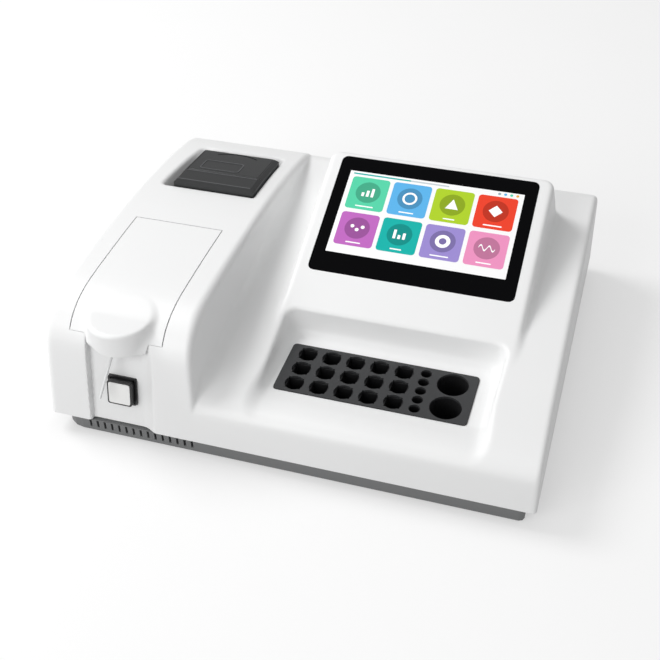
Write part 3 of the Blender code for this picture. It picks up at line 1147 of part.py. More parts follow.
def make_electronics():
    board = block("board", (BOARD_LEFT_X, BOARD_FRONT_Y, BOARD_Z),
                  (BOARD_RIGHT_X, BOARD_BACK_Y, BOARD_Z + BOARD_THICKNESS))
    x, y = (BOARD_LEFT_X + BOARD_RIGHT_X) / 2, (BOARD_FRONT_Y + BOARD_BACK_Y) / 2
    join(board, block("chip", (x - CHIP_SIZE / 2, y - CHIP_SIZE / 2, BOARD_Z + BOARD_THICKNESS / 2),
                      (x + CHIP_SIZE / 2, y + CHIP_SIZE / 2, BOARD_Z + BOARD_THICKNESS + CHIP_HEIGHT)))
    dress(publish(board), "main_board", GREEN, 0.45)
    x, y, z = SUPPLY_LEFT_X, FRONT_Y + SUPPLY_FROM_FRONT, FLOOR_Z + GAP
    supply = block("supply", (x, y, z), (x + SUPPLY_WIDTH, y + SUPPLY_LENGTH, z + SUPPLY_HEIGHT), Matrix(),
                   parts, SUPPLY_RADIUS, 2, 2)
    dress(supply, "power_supply", STEEL, 0.35, 1.0)

    half = FAN_SIZE / 2
    frame = block("frame", (FAN_X - half, FAN_FRONT_Y, FAN_Z - half), (FAN_X + half, FAN_BACK_Y, FAN_Z + half),
                  Matrix(), cutters, FAN_CORNER, 1, 3)
    cut(frame, rod("bore", FAN_BORE, (FAN_X, FAN_FRONT_Y - OVERRUN, FAN_Z),
                   (FAN_X, FAN_BACK_Y + OVERRUN, FAN_Z), sides=40))
    spoke = FAN_SPOKE / 2
    arm = half - FAN_CORNER / 2
    spoke_back = FAN_FRONT_Y + FAN_SPOKE_DEPTH
    join(frame,
         block("spoke", (FAN_X - arm, FAN_FRONT_Y, FAN_Z - spoke), (FAN_X + arm, spoke_back, FAN_Z + spoke)),
         block("spoke", (FAN_X - spoke, FAN_FRONT_Y, FAN_Z - arm), (FAN_X + spoke, spoke_back, FAN_Z + arm)),
         rod("hub", FAN_HUB, (FAN_X, FAN_FRONT_Y, FAN_Z), (FAN_X, spoke_back, FAN_Z), sides=24),
         rod("axle", SHAFT_RADIUS, (FAN_X, FAN_FRONT_Y + FAN_SPOKE_DEPTH / 2, FAN_Z),
             (FAN_X, FAN_BACK_Y - WALL, FAN_Z), sides=12))
    dress(publish(frame), "fan_frame", CHARCOAL, 0.5)
    near, far = spoke_back + FAN_LIFT, FAN_BACK_Y - FAN_LIFT
    rotor = rod("rotor", FAN_HUB, (FAN_X, near, FAN_Z), (FAN_X, far, FAN_Z), sides=24)
    middle = (near + far) / 2
    span = (far - near) / 2 / cos(FAN_BLADE_TURN) * FAN_BLADE_SHARE
    for i in range(FAN_BLADES):
        place = (Matrix.Translation((FAN_X, middle, FAN_Z)) @ Matrix.Rotation(2 * pi * i / FAN_BLADES, 4, "Y")
                 @ Matrix.Rotation(FAN_BLADE_TURN, 4, "Z"))
        join(rotor, block("blade", (-FAN_BLADE_THICKNESS / 2, -span, FAN_HUB / 2),
                          (FAN_BLADE_THICKNESS / 2, span, FAN_BLADE), place))
    cut(rotor, rod("bore", SHAFT_RADIUS + GAP, (FAN_X, FAN_FRONT_Y, FAN_Z),
                   (FAN_X, FAN_BACK_Y - WALL + GAP, FAN_Z), sides=12))
    dress(publish(rotor), "fan_rotor", BLACK, 0.5)
    move_origin(rotor, (FAN_X, middle, FAN_Z))


# Rear panel with the mains inlet, power switch, two sockets and the waste outlet

PANEL_LEFT = 0.140
PANEL_WIDTH = 0.210
PANEL_HEIGHT = 0.040
PANEL_THICKNESS = 0.002
PANEL_OVERLAP = 0.004
INLET_X = 0.180
INLET_WIDTH = 0.030
INLET_HEIGHT = 0.024
INLET_BODY_WIDTH = 0.026
INLET_BODY_HEIGHT = 0.019
INLET_FLANGE = 0.002
INLET_DEPTH = 0.018
INLET_WALL = 0.002
INLET_PIN = 0.002
INLET_PIN_PITCH = 0.007
SWITCH_X = 0.146
ROCKER_FRAME_WIDTH = 0.015
ROCKER_FRAME_HEIGHT = 0.021
ROCKER_BODY_WIDTH = 0.013
ROCKER_BODY_HEIGHT = 0.019
ROCKER_WIDTH = 0.010
ROCKER_HEIGHT = 0.0145
ROCKER_DEPTH = 0.003
ROCKER_PROUD = 0.0015
ROCKER_ROOM = 0.0175
ROCKER_SINK = 0.006
ROCKER_TURN = radians(8)
SERIAL_X = 0.090
SERIAL_WIDTH = 0.031
SERIAL_HEIGHT = 0.0125
SERIAL_SHELL_WIDTH = 0.017
SERIAL_SHELL_HEIGHT = 0.009
SERIAL_OUT = 0.004
USB_X = 0.055
USB_WIDTH = 0.0145
USB_HEIGHT = 0.012
USB_SLOT_WIDTH = 0.0122
USB_SLOT_HEIGHT = 0.0046
USB_SLOT_DEPTH = 0.010
WASTE_X = 0.025
WASTE_RADIUS = 0.003
WASTE_BORE = 0.0015
WASTE_NUT = 0.006
WASTE_OUT = 0.0055
PANEL_LEFT_X = LEFT_X + PANEL_LEFT
PANEL_RIGHT_X = PANEL_LEFT_X + PANEL_WIDTH
PANEL_INNER_Y = LIP_REAR_Y + GAP
PANEL_OUTER_Y = PANEL_INNER_Y + PANEL_THICKNESS
PANEL_Z = RIM_Z + GAP
PANEL_TOP_Z = PANEL_Z + PANEL_HEIGHT
PANEL_MID_Z = (PANEL_Z + PANEL_TOP_Z) / 2
FLANGE_Y = PANEL_OUTER_Y + GAP
ROCKER_AXIS = (PANEL_LEFT_X + SWITCH_X, FLANGE_Y, PANEL_MID_Z)


def panel_block(name, x, width, height, low_y, high_y, group=cutters, radius=0.0):
    return block(name, (PANEL_LEFT_X + x - width / 2, low_y, PANEL_MID_Z - height / 2),
                 (PANEL_LEFT_X + x + width / 2, high_y, PANEL_MID_Z + height / 2), Matrix(), group,
                 radius, 1, 2)


def panel_opening():
    return block("panel_opening", (PANEL_LEFT_X + PANEL_OVERLAP, PANEL_INNER_Y, PANEL_Z + PANEL_OVERLAP),
                 (PANEL_RIGHT_X - PANEL_OVERLAP, REAR_Y + OVERRUN, PANEL_TOP_Z - PANEL_OVERLAP))


def make_panel():
    panel = block("panel", (PANEL_LEFT_X, PANEL_INNER_Y, PANEL_Z), (PANEL_RIGHT_X, PANEL_OUTER_Y, PANEL_TOP_Z))
    back = PANEL_INNER_Y - INLET_DEPTH
    flange = FLANGE_Y + INLET_FLANGE
    holes = (
        (INLET_X, INLET_BODY_WIDTH, INLET_BODY_HEIGHT),
        (SWITCH_X, ROCKER_BODY_WIDTH, ROCKER_BODY_HEIGHT),
        (SERIAL_X, SERIAL_SHELL_WIDTH, SERIAL_SHELL_HEIGHT),
        (USB_X, USB_SLOT_WIDTH, USB_HEIGHT),
    )
    for x, width, height in holes:
        cut(panel, panel_block("hole", x, width + GAP * 2, height + GAP * 2, REAR_Y - OVERRUN * 2, REAR_Y))
    waste_x = PANEL_LEFT_X + WASTE_X
    cut(panel, rod("hole", WASTE_RADIUS + GAP, (waste_x, REAR_Y - OVERRUN * 2, PANEL_MID_Z),
                   (waste_x, REAR_Y, PANEL_MID_Z), sides=16))
    dress(publish(panel), "rear_panel", GREY, 0.5)

    inlet = panel_block("flange", INLET_X, INLET_WIDTH, INLET_HEIGHT, FLANGE_Y, flange, cutters, INLET_WALL)
    inside_flange = flange - INLET_FLANGE / 2
    join(inlet, panel_block("body", INLET_X, INLET_BODY_WIDTH, INLET_BODY_HEIGHT, back, inside_flange))
    cut(inlet, panel_block("socket", INLET_X, INLET_BODY_WIDTH - INLET_WALL * 2,
                           INLET_BODY_HEIGHT - INLET_WALL * 2, back + INLET_WALL, REAR_Y))
    for i in (-1, 0, 1):
        x = INLET_X + i * INLET_PIN_PITCH
        join(inlet, panel_block("pin", x, INLET_PIN, INLET_PIN * 2, back + INLET_WALL / 2, PANEL_INNER_Y))
    dress(publish(inlet), "mains_inlet", BLACK, 0.4)

    frame = panel_block("frame", SWITCH_X, ROCKER_FRAME_WIDTH, ROCKER_FRAME_HEIGHT, FLANGE_Y, flange, cutters,
                        INLET_WALL / 2)
    join(frame, panel_block("body", SWITCH_X, ROCKER_BODY_WIDTH, ROCKER_BODY_HEIGHT, back, inside_flange))
    cut(frame, panel_block("room", SWITCH_X, ROCKER_WIDTH + GAP * 2, ROCKER_ROOM, FLANGE_Y - ROCKER_SINK,
                           REAR_Y))
    dress(publish(frame), "switch_frame", BLACK, 0.4)
    tilt = Matrix.Translation(ROCKER_AXIS) @ Matrix.Rotation(ROCKER_TURN, 4, "X")
    rocker = block("rocker", (-ROCKER_WIDTH / 2, -ROCKER_DEPTH, -ROCKER_HEIGHT / 2),
                   (ROCKER_WIDTH / 2, INLET_FLANGE + ROCKER_PROUD, ROCKER_HEIGHT / 2), tilt, cutters,
                   INLET_WALL / 2, 0)
    dress(publish(rocker), "power_rocker", CHARCOAL, 0.35)
    move_origin(rocker, ROCKER_AXIS)

    serial = panel_block("flange", SERIAL_X, SERIAL_WIDTH, SERIAL_HEIGHT, FLANGE_Y, FLANGE_Y + INLET_FLANGE / 2)
    join(serial, panel_block("shell", SERIAL_X, SERIAL_SHELL_WIDTH, SERIAL_SHELL_HEIGHT,
                             PANEL_INNER_Y - WALL * 2, FLANGE_Y + SERIAL_OUT))
    dress(publish(serial), "serial_port", STEEL, 0.3, 1.0)
    face = PANEL_INNER_Y - GAP
    usb = panel_block("usb", USB_X, USB_WIDTH, USB_HEIGHT, face - USB_SLOT_DEPTH - WALL, face)
    cut(usb, panel_block("slot", USB_X, USB_SLOT_WIDTH, USB_SLOT_HEIGHT, face - USB_SLOT_DEPTH, REAR_Y))
    dress(publish(usb), "usb_port", STEEL, 0.3, 1.0)
    waste = rod("waste", WASTE_RADIUS, (waste_x, PANEL_INNER_Y - WALL * 2, PANEL_MID_Z),
                (waste_x, FLANGE_Y + WASTE_OUT, PANEL_MID_Z), sides=20)
    join(waste, rod("nut", WASTE_NUT, (waste_x, FLANGE_Y, PANEL_MID_Z),
                    (waste_x, FLANGE_Y + INLET_FLANGE, PANEL_MID_Z), sides=6))
    cut(waste, rod("bore", WASTE_BORE, (waste_x, PANEL_INNER_Y - OVERRUN, PANEL_MID_Z),
                   (waste_x, REAR_Y + OVERRUN, PANEL_MID_Z), sides=12))
    dress(publish(waste), "waste_fitting", BRASS, 0.3, 1.0)


# Hoses from the needle to the cell, from the cell to the pump and from the pump to the outlet

HOSE_UP = 0.0035
HOSE_OVER = 0.0105
HOSE_DROP = 0.0079
HOSE_TOP = 0.1000


def make_hoses():
    start = NEEDLE_TOP + NEEDLE_WAY * GAP * 2
    end = Vector((CELL_X, BEAM_Y, CELL_TOP_Z + GAP))
    top = BASE_Z + HOSE_TOP
    route = [start, start + NEEDLE_WAY * HOSE_UP / 2, (start.x, start.y + HOSE_UP * 2, top),
             (start.x, start.y + HOSE_OVER * 2, top - HOSE_UP),
             (end.x, end.y - HOSE_OVER / 2, end.z + HOSE_DROP), (end.x, end.y, end.z + HOSE_UP), end]
    dress(tube("hose", route, HOSE_RADIUS, parts), "sample_hose", CLEAR, 0.25)


# Top cover: the shell with its openings, posts and hinge lugs

LUG_LENGTH = 0.010
LUG_HALF = 0.004


def make_cover(shell):
    cut(shell, lid_opening(0.0))
    for x, y, shares, rise in POST_PLACES:
        high = min(outline_top(shares, rise, y + side) for side in (-POST_RADIUS, POST_RADIUS)) - WALL / 2
        join(shell, rod("post", POST_RADIUS, (x, y, FLOOR_Z + GAP), (x, y, high), sides=16))
        cut(shell, rod("hole", SCREW_RADIUS + GAP, (x, y, BASE_Z),
                       (x, y, BASE_Z + SCREW_LENGTH + SCREW_SPARE), sides=12))
    for low_x, high_x in ((LID_LEFT_X - LUG_LENGTH, LID_LEFT_X), (LID_RIGHT_X, LID_RIGHT_X + LUG_LENGTH)):
        join(shell, block("lug", (low_x, LID_AXIS_Y - LUG_HALF, LID_AXIS_Z - LUG_HALF),
                          (high_x, LID_AXIS_Y + LUG_HALF, LID_AXIS_Z + KNUCKLE_RADIUS - GAP)))
    cut(shell, rod("pin_hole", PIN_RADIUS + GAP, (LID_PIN_LEFT_X - GAP, LID_AXIS_Y, LID_AXIS_Z),
                   (LID_PIN_RIGHT_X + GAP, LID_AXIS_Y, LID_AXIS_Z), sides=16))
    cut(shell, *screen_openings())
    across, along = PLATE_WIDTH / 2 + SEAM, PLATE_LENGTH / 2 + SEAM
    plate_low = (PLATE_X - across, PLATE_Y - along, SHELF_FLOOR_Z - PLATE_SINK)
    plate_high = (PLATE_X + across, PLATE_Y + along, SHELF_FLOOR_Z + OVERRUN)
    cut(shell, block("plate_seat", plate_low, plate_high, Matrix(), cutters, PLATE_RADIUS + SEAM, 2),
        block("block_hole", (BLOCK_LEFT_X - GAP, BLOCK_FRONT_Y - GAP, SHELF_FLOOR_Z - OVERRUN),
              (BLOCK_RIGHT_X + GAP, BLOCK_BACK_Y + GAP, SHELF_FLOOR_Z)),
        button_block("sleeve_hole", BEZEL_SLEEVE + GAP * 2, -OVERRUN, OVERRUN),
        block("bin_hole", (BIN_LEFT_X - GAP, BIN_FRONT_Y - GAP, BIN_Z),
              (BIN_RIGHT_X + GAP, BIN_BACK_Y + GAP, POCKET_FLOOR_Z + WALL)),
        panel_opening())
    for i in range(GRILLE_SLOTS):
        x = FAN_X + (i - (GRILLE_SLOTS - 1) / 2) * GRILLE_PITCH
        cut(shell, block("grille", (x - GRILLE_WIDTH / 2, FAN_BACK_Y, FAN_Z - GRILLE_HEIGHT / 2),
                         (x + GRILLE_WIDTH / 2, REAR_Y + OVERRUN, FAN_Z + GRILLE_HEIGHT / 2)))
    return dress(publish(shell), "top_cover", WHITE, 0.42)


# The build

clear_scene()
outer = housing_solid(0.0, EDGE_Z)
outer.name = "shell"
cut(outer, housing_solid(WALL, EDGE_Z - OVERRUN))
spare = add_object("spare", outer.data.copy(), outer.matrix_world.copy(), cutters)
make_cover(outer)
make_lid(spare)
make_tray()
make_feet_and_screws()
make_incubator()
make_screen()
make_button()
make_probe()
make_optics()
make_pump()
make_printer()
make_electronics()
make_panel()
make_hoses()
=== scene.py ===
from math import cos, pi, radians, sin

import bmesh
import bpy
import numpy as np
from mathutils import Matrix, Vector


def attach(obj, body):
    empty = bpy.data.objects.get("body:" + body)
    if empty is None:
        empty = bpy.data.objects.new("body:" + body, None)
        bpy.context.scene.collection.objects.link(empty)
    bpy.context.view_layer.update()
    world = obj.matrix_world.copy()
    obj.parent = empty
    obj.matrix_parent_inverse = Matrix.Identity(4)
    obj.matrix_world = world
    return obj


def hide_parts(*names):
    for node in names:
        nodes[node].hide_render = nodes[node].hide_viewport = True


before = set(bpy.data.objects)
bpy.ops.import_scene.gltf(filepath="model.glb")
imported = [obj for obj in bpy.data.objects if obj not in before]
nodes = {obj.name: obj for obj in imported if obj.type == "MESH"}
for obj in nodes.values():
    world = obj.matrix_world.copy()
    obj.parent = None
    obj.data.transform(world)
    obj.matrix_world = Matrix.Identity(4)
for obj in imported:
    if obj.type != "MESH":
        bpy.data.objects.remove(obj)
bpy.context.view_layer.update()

# Base tray
# A folded sheet-steel tray in mid grey powder coat. It carries everything else and shows as a
# narrow band with a row of vent slots under the front of the cover.


def shader_group(name, inputs, outputs):
    """An empty node group with named colour, value and normal sockets."""
    group = bpy.data.node_groups.new(name, "ShaderNodeTree")
    kinds = {"value": "NodeSocketFloat", "colour": "NodeSocketColor", "vector": "NodeSocketVector"}
    for label, kind, default in inputs:
        socket = group.interface.new_socket(label, in_out="INPUT", socket_type=kinds[kind])
        socket.default_value = default
    for label, kind in outputs:
        group.interface.new_socket(label, in_out="OUTPUT", socket_type=kinds[kind])
    return group, group.nodes.new("NodeGroupInput"), group.nodes.new("NodeGroupOutput")


def link_maths(tree, operation, *values):
    """A maths node whose inputs are sockets or plain numbers."""
    node = tree.nodes.new("ShaderNodeMath")
    node.operation = operation
    for i, value in enumerate(values):
        if isinstance(value, bpy.types.NodeSocket):
            tree.links.new(value, node.inputs[i])
        else:
            node.inputs[i].default_value = value
    return node.outputs[0]


NOISE_MIDDLE = 0.5
BUMP_HEIGHT = 0.0001


def make_skin_group():
    """Moulded or painted skin: a fine grain in the surface and a slow drift of tone and gloss."""
    drift_scale, tone_swing, speckle_swing = 9.0, 2.0, 0.10
    group, given, result = shader_group(
        "skin",
        [("Colour", "colour", (0.8, 0.8, 0.8, 1.0)), ("Gloss", "value", 0.4), ("Grain Size", "value", 0.001),
         ("Grain Depth", "value", 0.2), ("Drift", "value", 0.03)],
        [("Colour", "colour"), ("Roughness", "value"), ("Normal", "vector")],
    )
    place = group.nodes.new("ShaderNodeTexCoord")
    grain = group.nodes.new("ShaderNodeTexNoise")
    grain.inputs["Detail"].default_value = 2.0
    group.links.new(place.outputs["Object"], grain.inputs["Vector"])
    group.links.new(link_maths(group, "DIVIDE", 1.0, given.outputs["Grain Size"]), grain.inputs["Scale"])
    drift = group.nodes.new("ShaderNodeTexNoise")
    drift.inputs["Scale"].default_value = drift_scale
    drift.inputs["Detail"].default_value = 3.0
    group.links.new(place.outputs["Object"], drift.inputs["Vector"])
    swing = link_maths(group, "MULTIPLY", link_maths(group, "SUBTRACT", drift.outputs["Fac"], NOISE_MIDDLE),
                       given.outputs["Drift"])
    shade = group.nodes.new("ShaderNodeMix")
    shade.data_type = "RGBA"
    shade.blend_type = "MULTIPLY"
    shade.inputs["Factor"].default_value = 1.0
    first_colour, second_colour, mixed_colour = shade.inputs[6], shade.inputs[7], shade.outputs[2]
    group.links.new(given.outputs["Colour"], first_colour)
    tone = group.nodes.new("ShaderNodeCombineColor")
    level = link_maths(group, "ADD", link_maths(group, "MULTIPLY", swing, tone_swing), 1.0)
    for channel in tone.inputs:
        group.links.new(level, channel)
    group.links.new(tone.outputs[0], second_colour)
    group.links.new(mixed_colour, result.inputs["Colour"])
    speckle = link_maths(group, "MULTIPLY", link_maths(group, "SUBTRACT", grain.outputs["Fac"], NOISE_MIDDLE),
                         speckle_swing)
    rough = link_maths(group, "ADD", link_maths(group, "ADD", given.outputs["Gloss"], swing), speckle)
    group.links.new(rough, result.inputs["Roughness"])
    bump = group.nodes.new("ShaderNodeBump")
    bump.inputs["Distance"].default_value = BUMP_HEIGHT
    group.links.new(given.outputs["Grain Depth"], bump.inputs["Strength"])
    group.links.new(grain.outputs["Fac"], bump.inputs["Height"])
    group.links.new(bump.outputs["Normal"], result.inputs["Normal"])
    return group


skin = make_skin_group()


def skin_material(name, colour, gloss, grain_size, grain_depth, drift):
    """A material with the skin group set for one finish; the shader node is returned with it."""
    material = bpy.data.materials.new(name)
    material.use_nodes = True
    tree = material.node_tree
    shader = tree.nodes["Principled BSDF"]
    finish = tree.nodes.new("ShaderNodeGroup")
    finish.node_tree = skin
    finish.inputs["Colour"].default_value = (*colour, 1.0)
    finish.inputs["Gloss"].default_value = gloss
    finish.inputs["Grain Size"].default_value = grain_size
    finish.inputs["Grain Depth"].default_value = grain_depth
    finish.inputs["Drift"].default_value = drift
    tree.links.new(finish.outputs["Colour"], shader.inputs["Base Color"])
    tree.links.new(finish.outputs["Roughness"], shader.inputs["Roughness"])
    tree.links.new(finish.outputs["Normal"], shader.inputs["Normal"])
    return material, shader


def wear(material, *names):
    """Give CAD nodes a material in place of their plain one."""
    for name in names:
        mesh = nodes[name].data
        mesh.materials.clear()
        mesh.materials.append(material)


tray_paint, _ = skin_material("tray_paint", colour=(0.165, 0.168, 0.170), gloss=0.5,
                              grain_size=0.0006, grain_depth=0.35, drift=0.05)
wear(tray_paint, "base_tray")

# Feet
# Four round feet of moulded black rubber, each pushed into a hole in the tray by a peg of its own.
# They keep the tray clear of the bench.

foot_rubber, _ = skin_material("foot_rubber", colour=(0.02, 0.02, 0.021), gloss=0.75,
                               grain_size=0.0009, grain_depth=0.6, drift=0.08)
wear(foot_rubber, "foot_1", "foot_2", "foot_3", "foot_4")

# Rear panel and its connectors
# A painted plate behind the opening in the cover. It carries a moulded mains inlet and power
# switch, a serial and a USB socket in steel shells, and the turned brass waste outlet.


def make_brush_group():
    """Machined or rolled metal: fine lines along X that break up its gloss."""
    along_lines, gloss_swing = 0.03, 0.3
    group, given, result = shader_group(
        "brushed",
        [("Gloss", "value", 0.3), ("Line Size", "value", 0.0004), ("Depth", "value", 0.15)],
        [("Roughness", "value"), ("Normal", "vector")],
    )
    place = group.nodes.new("ShaderNodeTexCoord")
    stretch = group.nodes.new("ShaderNodeMapping")
    stretch.inputs["Scale"].default_value = (along_lines, 1.0, 1.0)
    lines = group.nodes.new("ShaderNodeTexNoise")
    lines.inputs["Detail"].default_value = 3.0
    group.links.new(place.outputs["Object"], stretch.inputs["Vector"])
    group.links.new(stretch.outputs["Vector"], lines.inputs["Vector"])
    group.links.new(link_maths(group, "DIVIDE", 1.0, given.outputs["Line Size"]), lines.inputs["Scale"])
    swing = link_maths(group, "MULTIPLY", link_maths(group, "SUBTRACT", lines.outputs["Fac"], NOISE_MIDDLE),
                       gloss_swing)
    group.links.new(link_maths(group, "ADD", given.outputs["Gloss"], swing), result.inputs["Roughness"])
    bump = group.nodes.new("ShaderNodeBump")
    bump.inputs["Distance"].default_value = BUMP_HEIGHT
    group.links.new(given.outputs["Depth"], bump.inputs["Strength"])
    group.links.new(lines.outputs["Fac"], bump.inputs["Height"])
    group.links.new(bump.outputs["Normal"], result.inputs["Normal"])
    return group


brushed = make_brush_group()


def metal_material(name, colour, gloss, line_size, depth):
    """Bare metal with the brushed group set for one finish."""
    material = bpy.data.materials.new(name)
    material.use_nodes = True
    tree = material.node_tree
    shader = tree.nodes["Principled BSDF"]
    shader.inputs["Base Color"].default_value = (*colour, 1.0)
    shader.inputs["Metallic"].default_value = 1.0
    finish = tree.nodes.new("ShaderNodeGroup")
    finish.node_tree = brushed
    finish.inputs["Gloss"].default_value = gloss
    finish.inputs["Line Size"].default_value = line_size
    finish.inputs["Depth"].default_value = depth
    tree.links.new(finish.outputs["Roughness"], shader.inputs["Roughness"])
    tree.links.new(finish.outputs["Normal"], shader.inputs["Normal"])
    return material


black_plastic, _ = skin_material("black_plastic", colour=(0.012, 0.012, 0.013), gloss=0.34,
                                 grain_size=0.0005, grain_depth=0.25, drift=0.04)
rolled_steel = metal_material("rolled_steel", colour=(0.60, 0.61, 0.62), gloss=0.30,
                              line_size=0.0003, depth=0.2)
outlet_brass = metal_material("outlet_brass", colour=(0.62, 0.45, 0.20), gloss=0.28,
                              line_size=0.0003, depth=0.15)
wear(tray_paint, "rear_panel")
wear(black_plastic, "mains_inlet", "switch_frame", "power_rocker")
wear(rolled_steel, "serial_port", "usb_port")
wear(outlet_brass, "waste_fitting")

# Electronics
# The main board of green laminate on its stands, the power supply in a folded steel case, and the
# moulded fan at the rear left. All of them sit on the tray.

board_green, _ = skin_material("board_green", colour=(0.015, 0.13, 0.06), gloss=0.35,
                               grain_size=0.002, grain_depth=0.3, drift=0.10)
charcoal, _ = skin_material("charcoal", colour=(0.018, 0.019, 0.020), gloss=0.34,
                            grain_size=0.0005, grain_depth=0.45, drift=0.05)
wear(board_green, "main_board", "detector_board")
wear(rolled_steel, "power_supply")
wear(charcoal, "fan_frame")
wear(black_plastic, "fan_rotor")

# Optics and pump
# Lamp, filter wheel, flow cell, lens and detector stand in a row on a cast aluminium bench under
# the lid, and the small peristaltic pump with its clear head stands behind them.


def make_flow_group():
    """Clear plastic or glass: faint flow marks in its surface."""
    group, given, result = shader_group(
        "flow_marks", [("Mark Scale", "value", 350.0), ("Depth", "value", 0.12)], [("Normal", "vector")])
    place = group.nodes.new("ShaderNodeTexCoord")
    waves = group.nodes.new("ShaderNodeTexNoise")
    bump = group.nodes.new("ShaderNodeBump")
    bump.inputs["Distance"].default_value = BUMP_HEIGHT
    group.links.new(place.outputs["Object"], waves.inputs["Vector"])
    group.links.new(given.outputs["Mark Scale"], waves.inputs["Scale"])
    group.links.new(given.outputs["Depth"], bump.inputs["Strength"])
    group.links.new(waves.outputs["Fac"], bump.inputs["Height"])
    group.links.new(bump.outputs["Normal"], result.inputs["Normal"])
    return group


flow_marks = make_flow_group()


def clear_material(name, colour, roughness):
    """Clear plastic or glass with the flow marks in its surface."""
    material = bpy.data.materials.new(name)
    material.use_nodes = True
    tree = material.node_tree
    shader = tree.nodes["Principled BSDF"]
    shader.inputs["Base Color"].default_value = (*colour, 1.0)
    shader.inputs["Roughness"].default_value = roughness
    shader.inputs["Transmission Weight"].default_value = 0.75
    shader.inputs["IOR"].default_value = 1.46
    finish = tree.nodes.new("ShaderNodeGroup")
    finish.node_tree = flow_marks
    tree.links.new(finish.outputs["Normal"], shader.inputs["Normal"])
    return material


cast_aluminium = metal_material("cast_aluminium", colour=(0.70, 0.71, 0.72), gloss=0.36,
                                line_size=0.0006, depth=0.3)
cell_quartz = clear_material("cell_quartz", colour=(0.86, 0.92, 0.94), roughness=0.05)
pump_clear = clear_material("pump_clear", colour=(0.80, 0.84, 0.86), roughness=0.25)
rotor_white, _ = skin_material("rotor_white", colour=(0.75, 0.75, 0.73), gloss=0.4,
                               grain_size=0.0008, grain_depth=0.2, drift=0.04)
wear(cast_aluminium, "optical_bench", "lamp_heat_sink")
wear(cell_quartz, "flow_cell", "lamp")
wear(black_plastic, "flow_cell_holder", "filter_wheel", "lens_barrel")
wear(charcoal, "filter_motor")
wear(rolled_steel, "pump_motor")
wear(pump_clear, "pump_head")
wear(rotor_white, "pump_rotor")

# Incubator
# A black anodised block with a heater pad under it, and the dark plate whose holes take the
# cuvettes, tubes and bottles.

block_black, _ = skin_material("block_black", colour=(0.010, 0.010, 0.011), gloss=0.48,
                               grain_size=0.0007, grain_depth=0.3, drift=0.05)
plate_dark, _ = skin_material("plate_dark", colour=(0.033, 0.034, 0.036), gloss=0.50,
                              grain_size=0.0005, grain_depth=0.4, drift=0.06)
heater_film, _ = skin_material("heater_film", colour=(0.50, 0.20, 0.04), gloss=0.4,
                               grain_size=0.001, grain_depth=0.2, drift=0.06)
wear(block_black, "incubator_block")
wear(plate_dark, "incubator_plate")
wear(heater_film, "heater_pad")

# Top cover
# One injection-moulded skin in satin white plastic: the tower on the left, the sloping deck, the
# housing of the screen, the shelf of the incubator and the well of the printer. Four screws from
# below hold it to the tray.

# Side outlines, as shares of the depth from the front and of the rise above the cover's edge
TOWER_LINE = (
    (0.0, 0.0), (0.0200, 0.370), (0.0363, 0.630), (0.0496, 0.750), (0.0675, 0.835),
    (0.0927, 0.900), (0.1314, 0.953), (0.1879, 0.984), (0.3216, 0.999), (0.4405, 1.0),
    (0.5595, 0.989), (0.6784, 0.962), (0.7973, 0.916), (0.8900, 0.862), (0.9350, 0.820),
    (0.9600, 0.782), (0.9740, 0.730), (0.9816, 0.660), (0.9850, 0.580), (1.0, 0.0),
)
DECK_LINE = (
    (0.0, 0.0), (0.0128, 0.306), (0.0199, 0.388), (0.0333, 0.452), (0.0541, 0.497),
    (0.0927, 0.535), (0.1433, 0.569), (0.2325, 0.624), (0.3216, 0.688), (0.4405, 0.767),
    (0.5595, 0.828), (0.6784, 0.885), (0.7973, 0.940), (0.9162, 0.989), (0.9400, 0.994),
    (0.9600, 0.975), (0.9740, 0.925), (0.9816, 0.841), (0.9850, 0.739), (1.0, 0.0),
)
TOWER_RISE, DECK_RISE = 100.0, 78.5

# Places and sizes in millimetres; a lean is millimetres of run for each of height
PER_METRE = 1000.0
FRONT, DEPTH, EDGE = -164.3, 336.4, 15.0
SIDE_X, SIDE_LEAN = 200.0, 0.0192
OUTLINE_TAIL = 20.0
TABLE_Y, TABLE_Z, TABLE_STEP = (-190.0, 200.0), (-10.0, 150.0), 0.5
FAR_AWAY, LAST_CELL = 1e9, 1.01


def side_line(shares, rise, steps=6):
    """The side view's outline in millimetres, rounded through its points."""
    points = [np.array((FRONT + a * DEPTH, EDGE + b * rise)) for a, b in shares]
    tail = np.array((0.0, OUTLINE_TAIL))
    line = [points[0] - tail]
    ends = [points[0] * 2 - points[1]] + points + [points[-1] * 2 - points[-2]]
    for a, b, c, d in zip(ends, ends[1:], ends[2:], ends[3:]):
        for i in range(steps):
            t = i / steps
            line.append(b + ((c - a) * t + (a * 2 - b * 5 + c * 4 - d) * t ** 2
                             + (b * 3 - a - c * 3 + d) * t ** 3) / 2)
    return np.array(line + [points[-1], points[-1] - tail])


def outline_table(shares, rise):
    """Signed distance to a side outline, sampled over the side view."""
    line = side_line(shares, rise)
    y, z = np.meshgrid(np.arange(*TABLE_Y, TABLE_STEP), np.arange(*TABLE_Z, TABLE_STEP), indexing="ij")
    nearest = np.full(y.shape, FAR_AWAY)
    inside = np.zeros(y.shape, bool)
    for (ay, az), (by, bz) in zip(line, np.roll(line, -1, axis=0)):
        run_y, run_z = by - ay, bz - az
        t = np.clip(((y - ay) * run_y + (z - az) * run_z) / (run_y ** 2 + run_z ** 2), 0.0, 1.0)
        if min(az, bz) >= 0.0:
            nearest = np.minimum(nearest, np.hypot(y - ay - t * run_y, z - az - t * run_z))
        if az != bz:
            inside ^= ((az > z) != (bz > z)) & (y < run_y * (z - az) / (bz - az) + ay)
    return np.where(inside, -nearest, nearest)


tower_table = outline_table(TOWER_LINE, TOWER_RISE)
deck_table = outline_table(DECK_LINE, DECK_RISE)


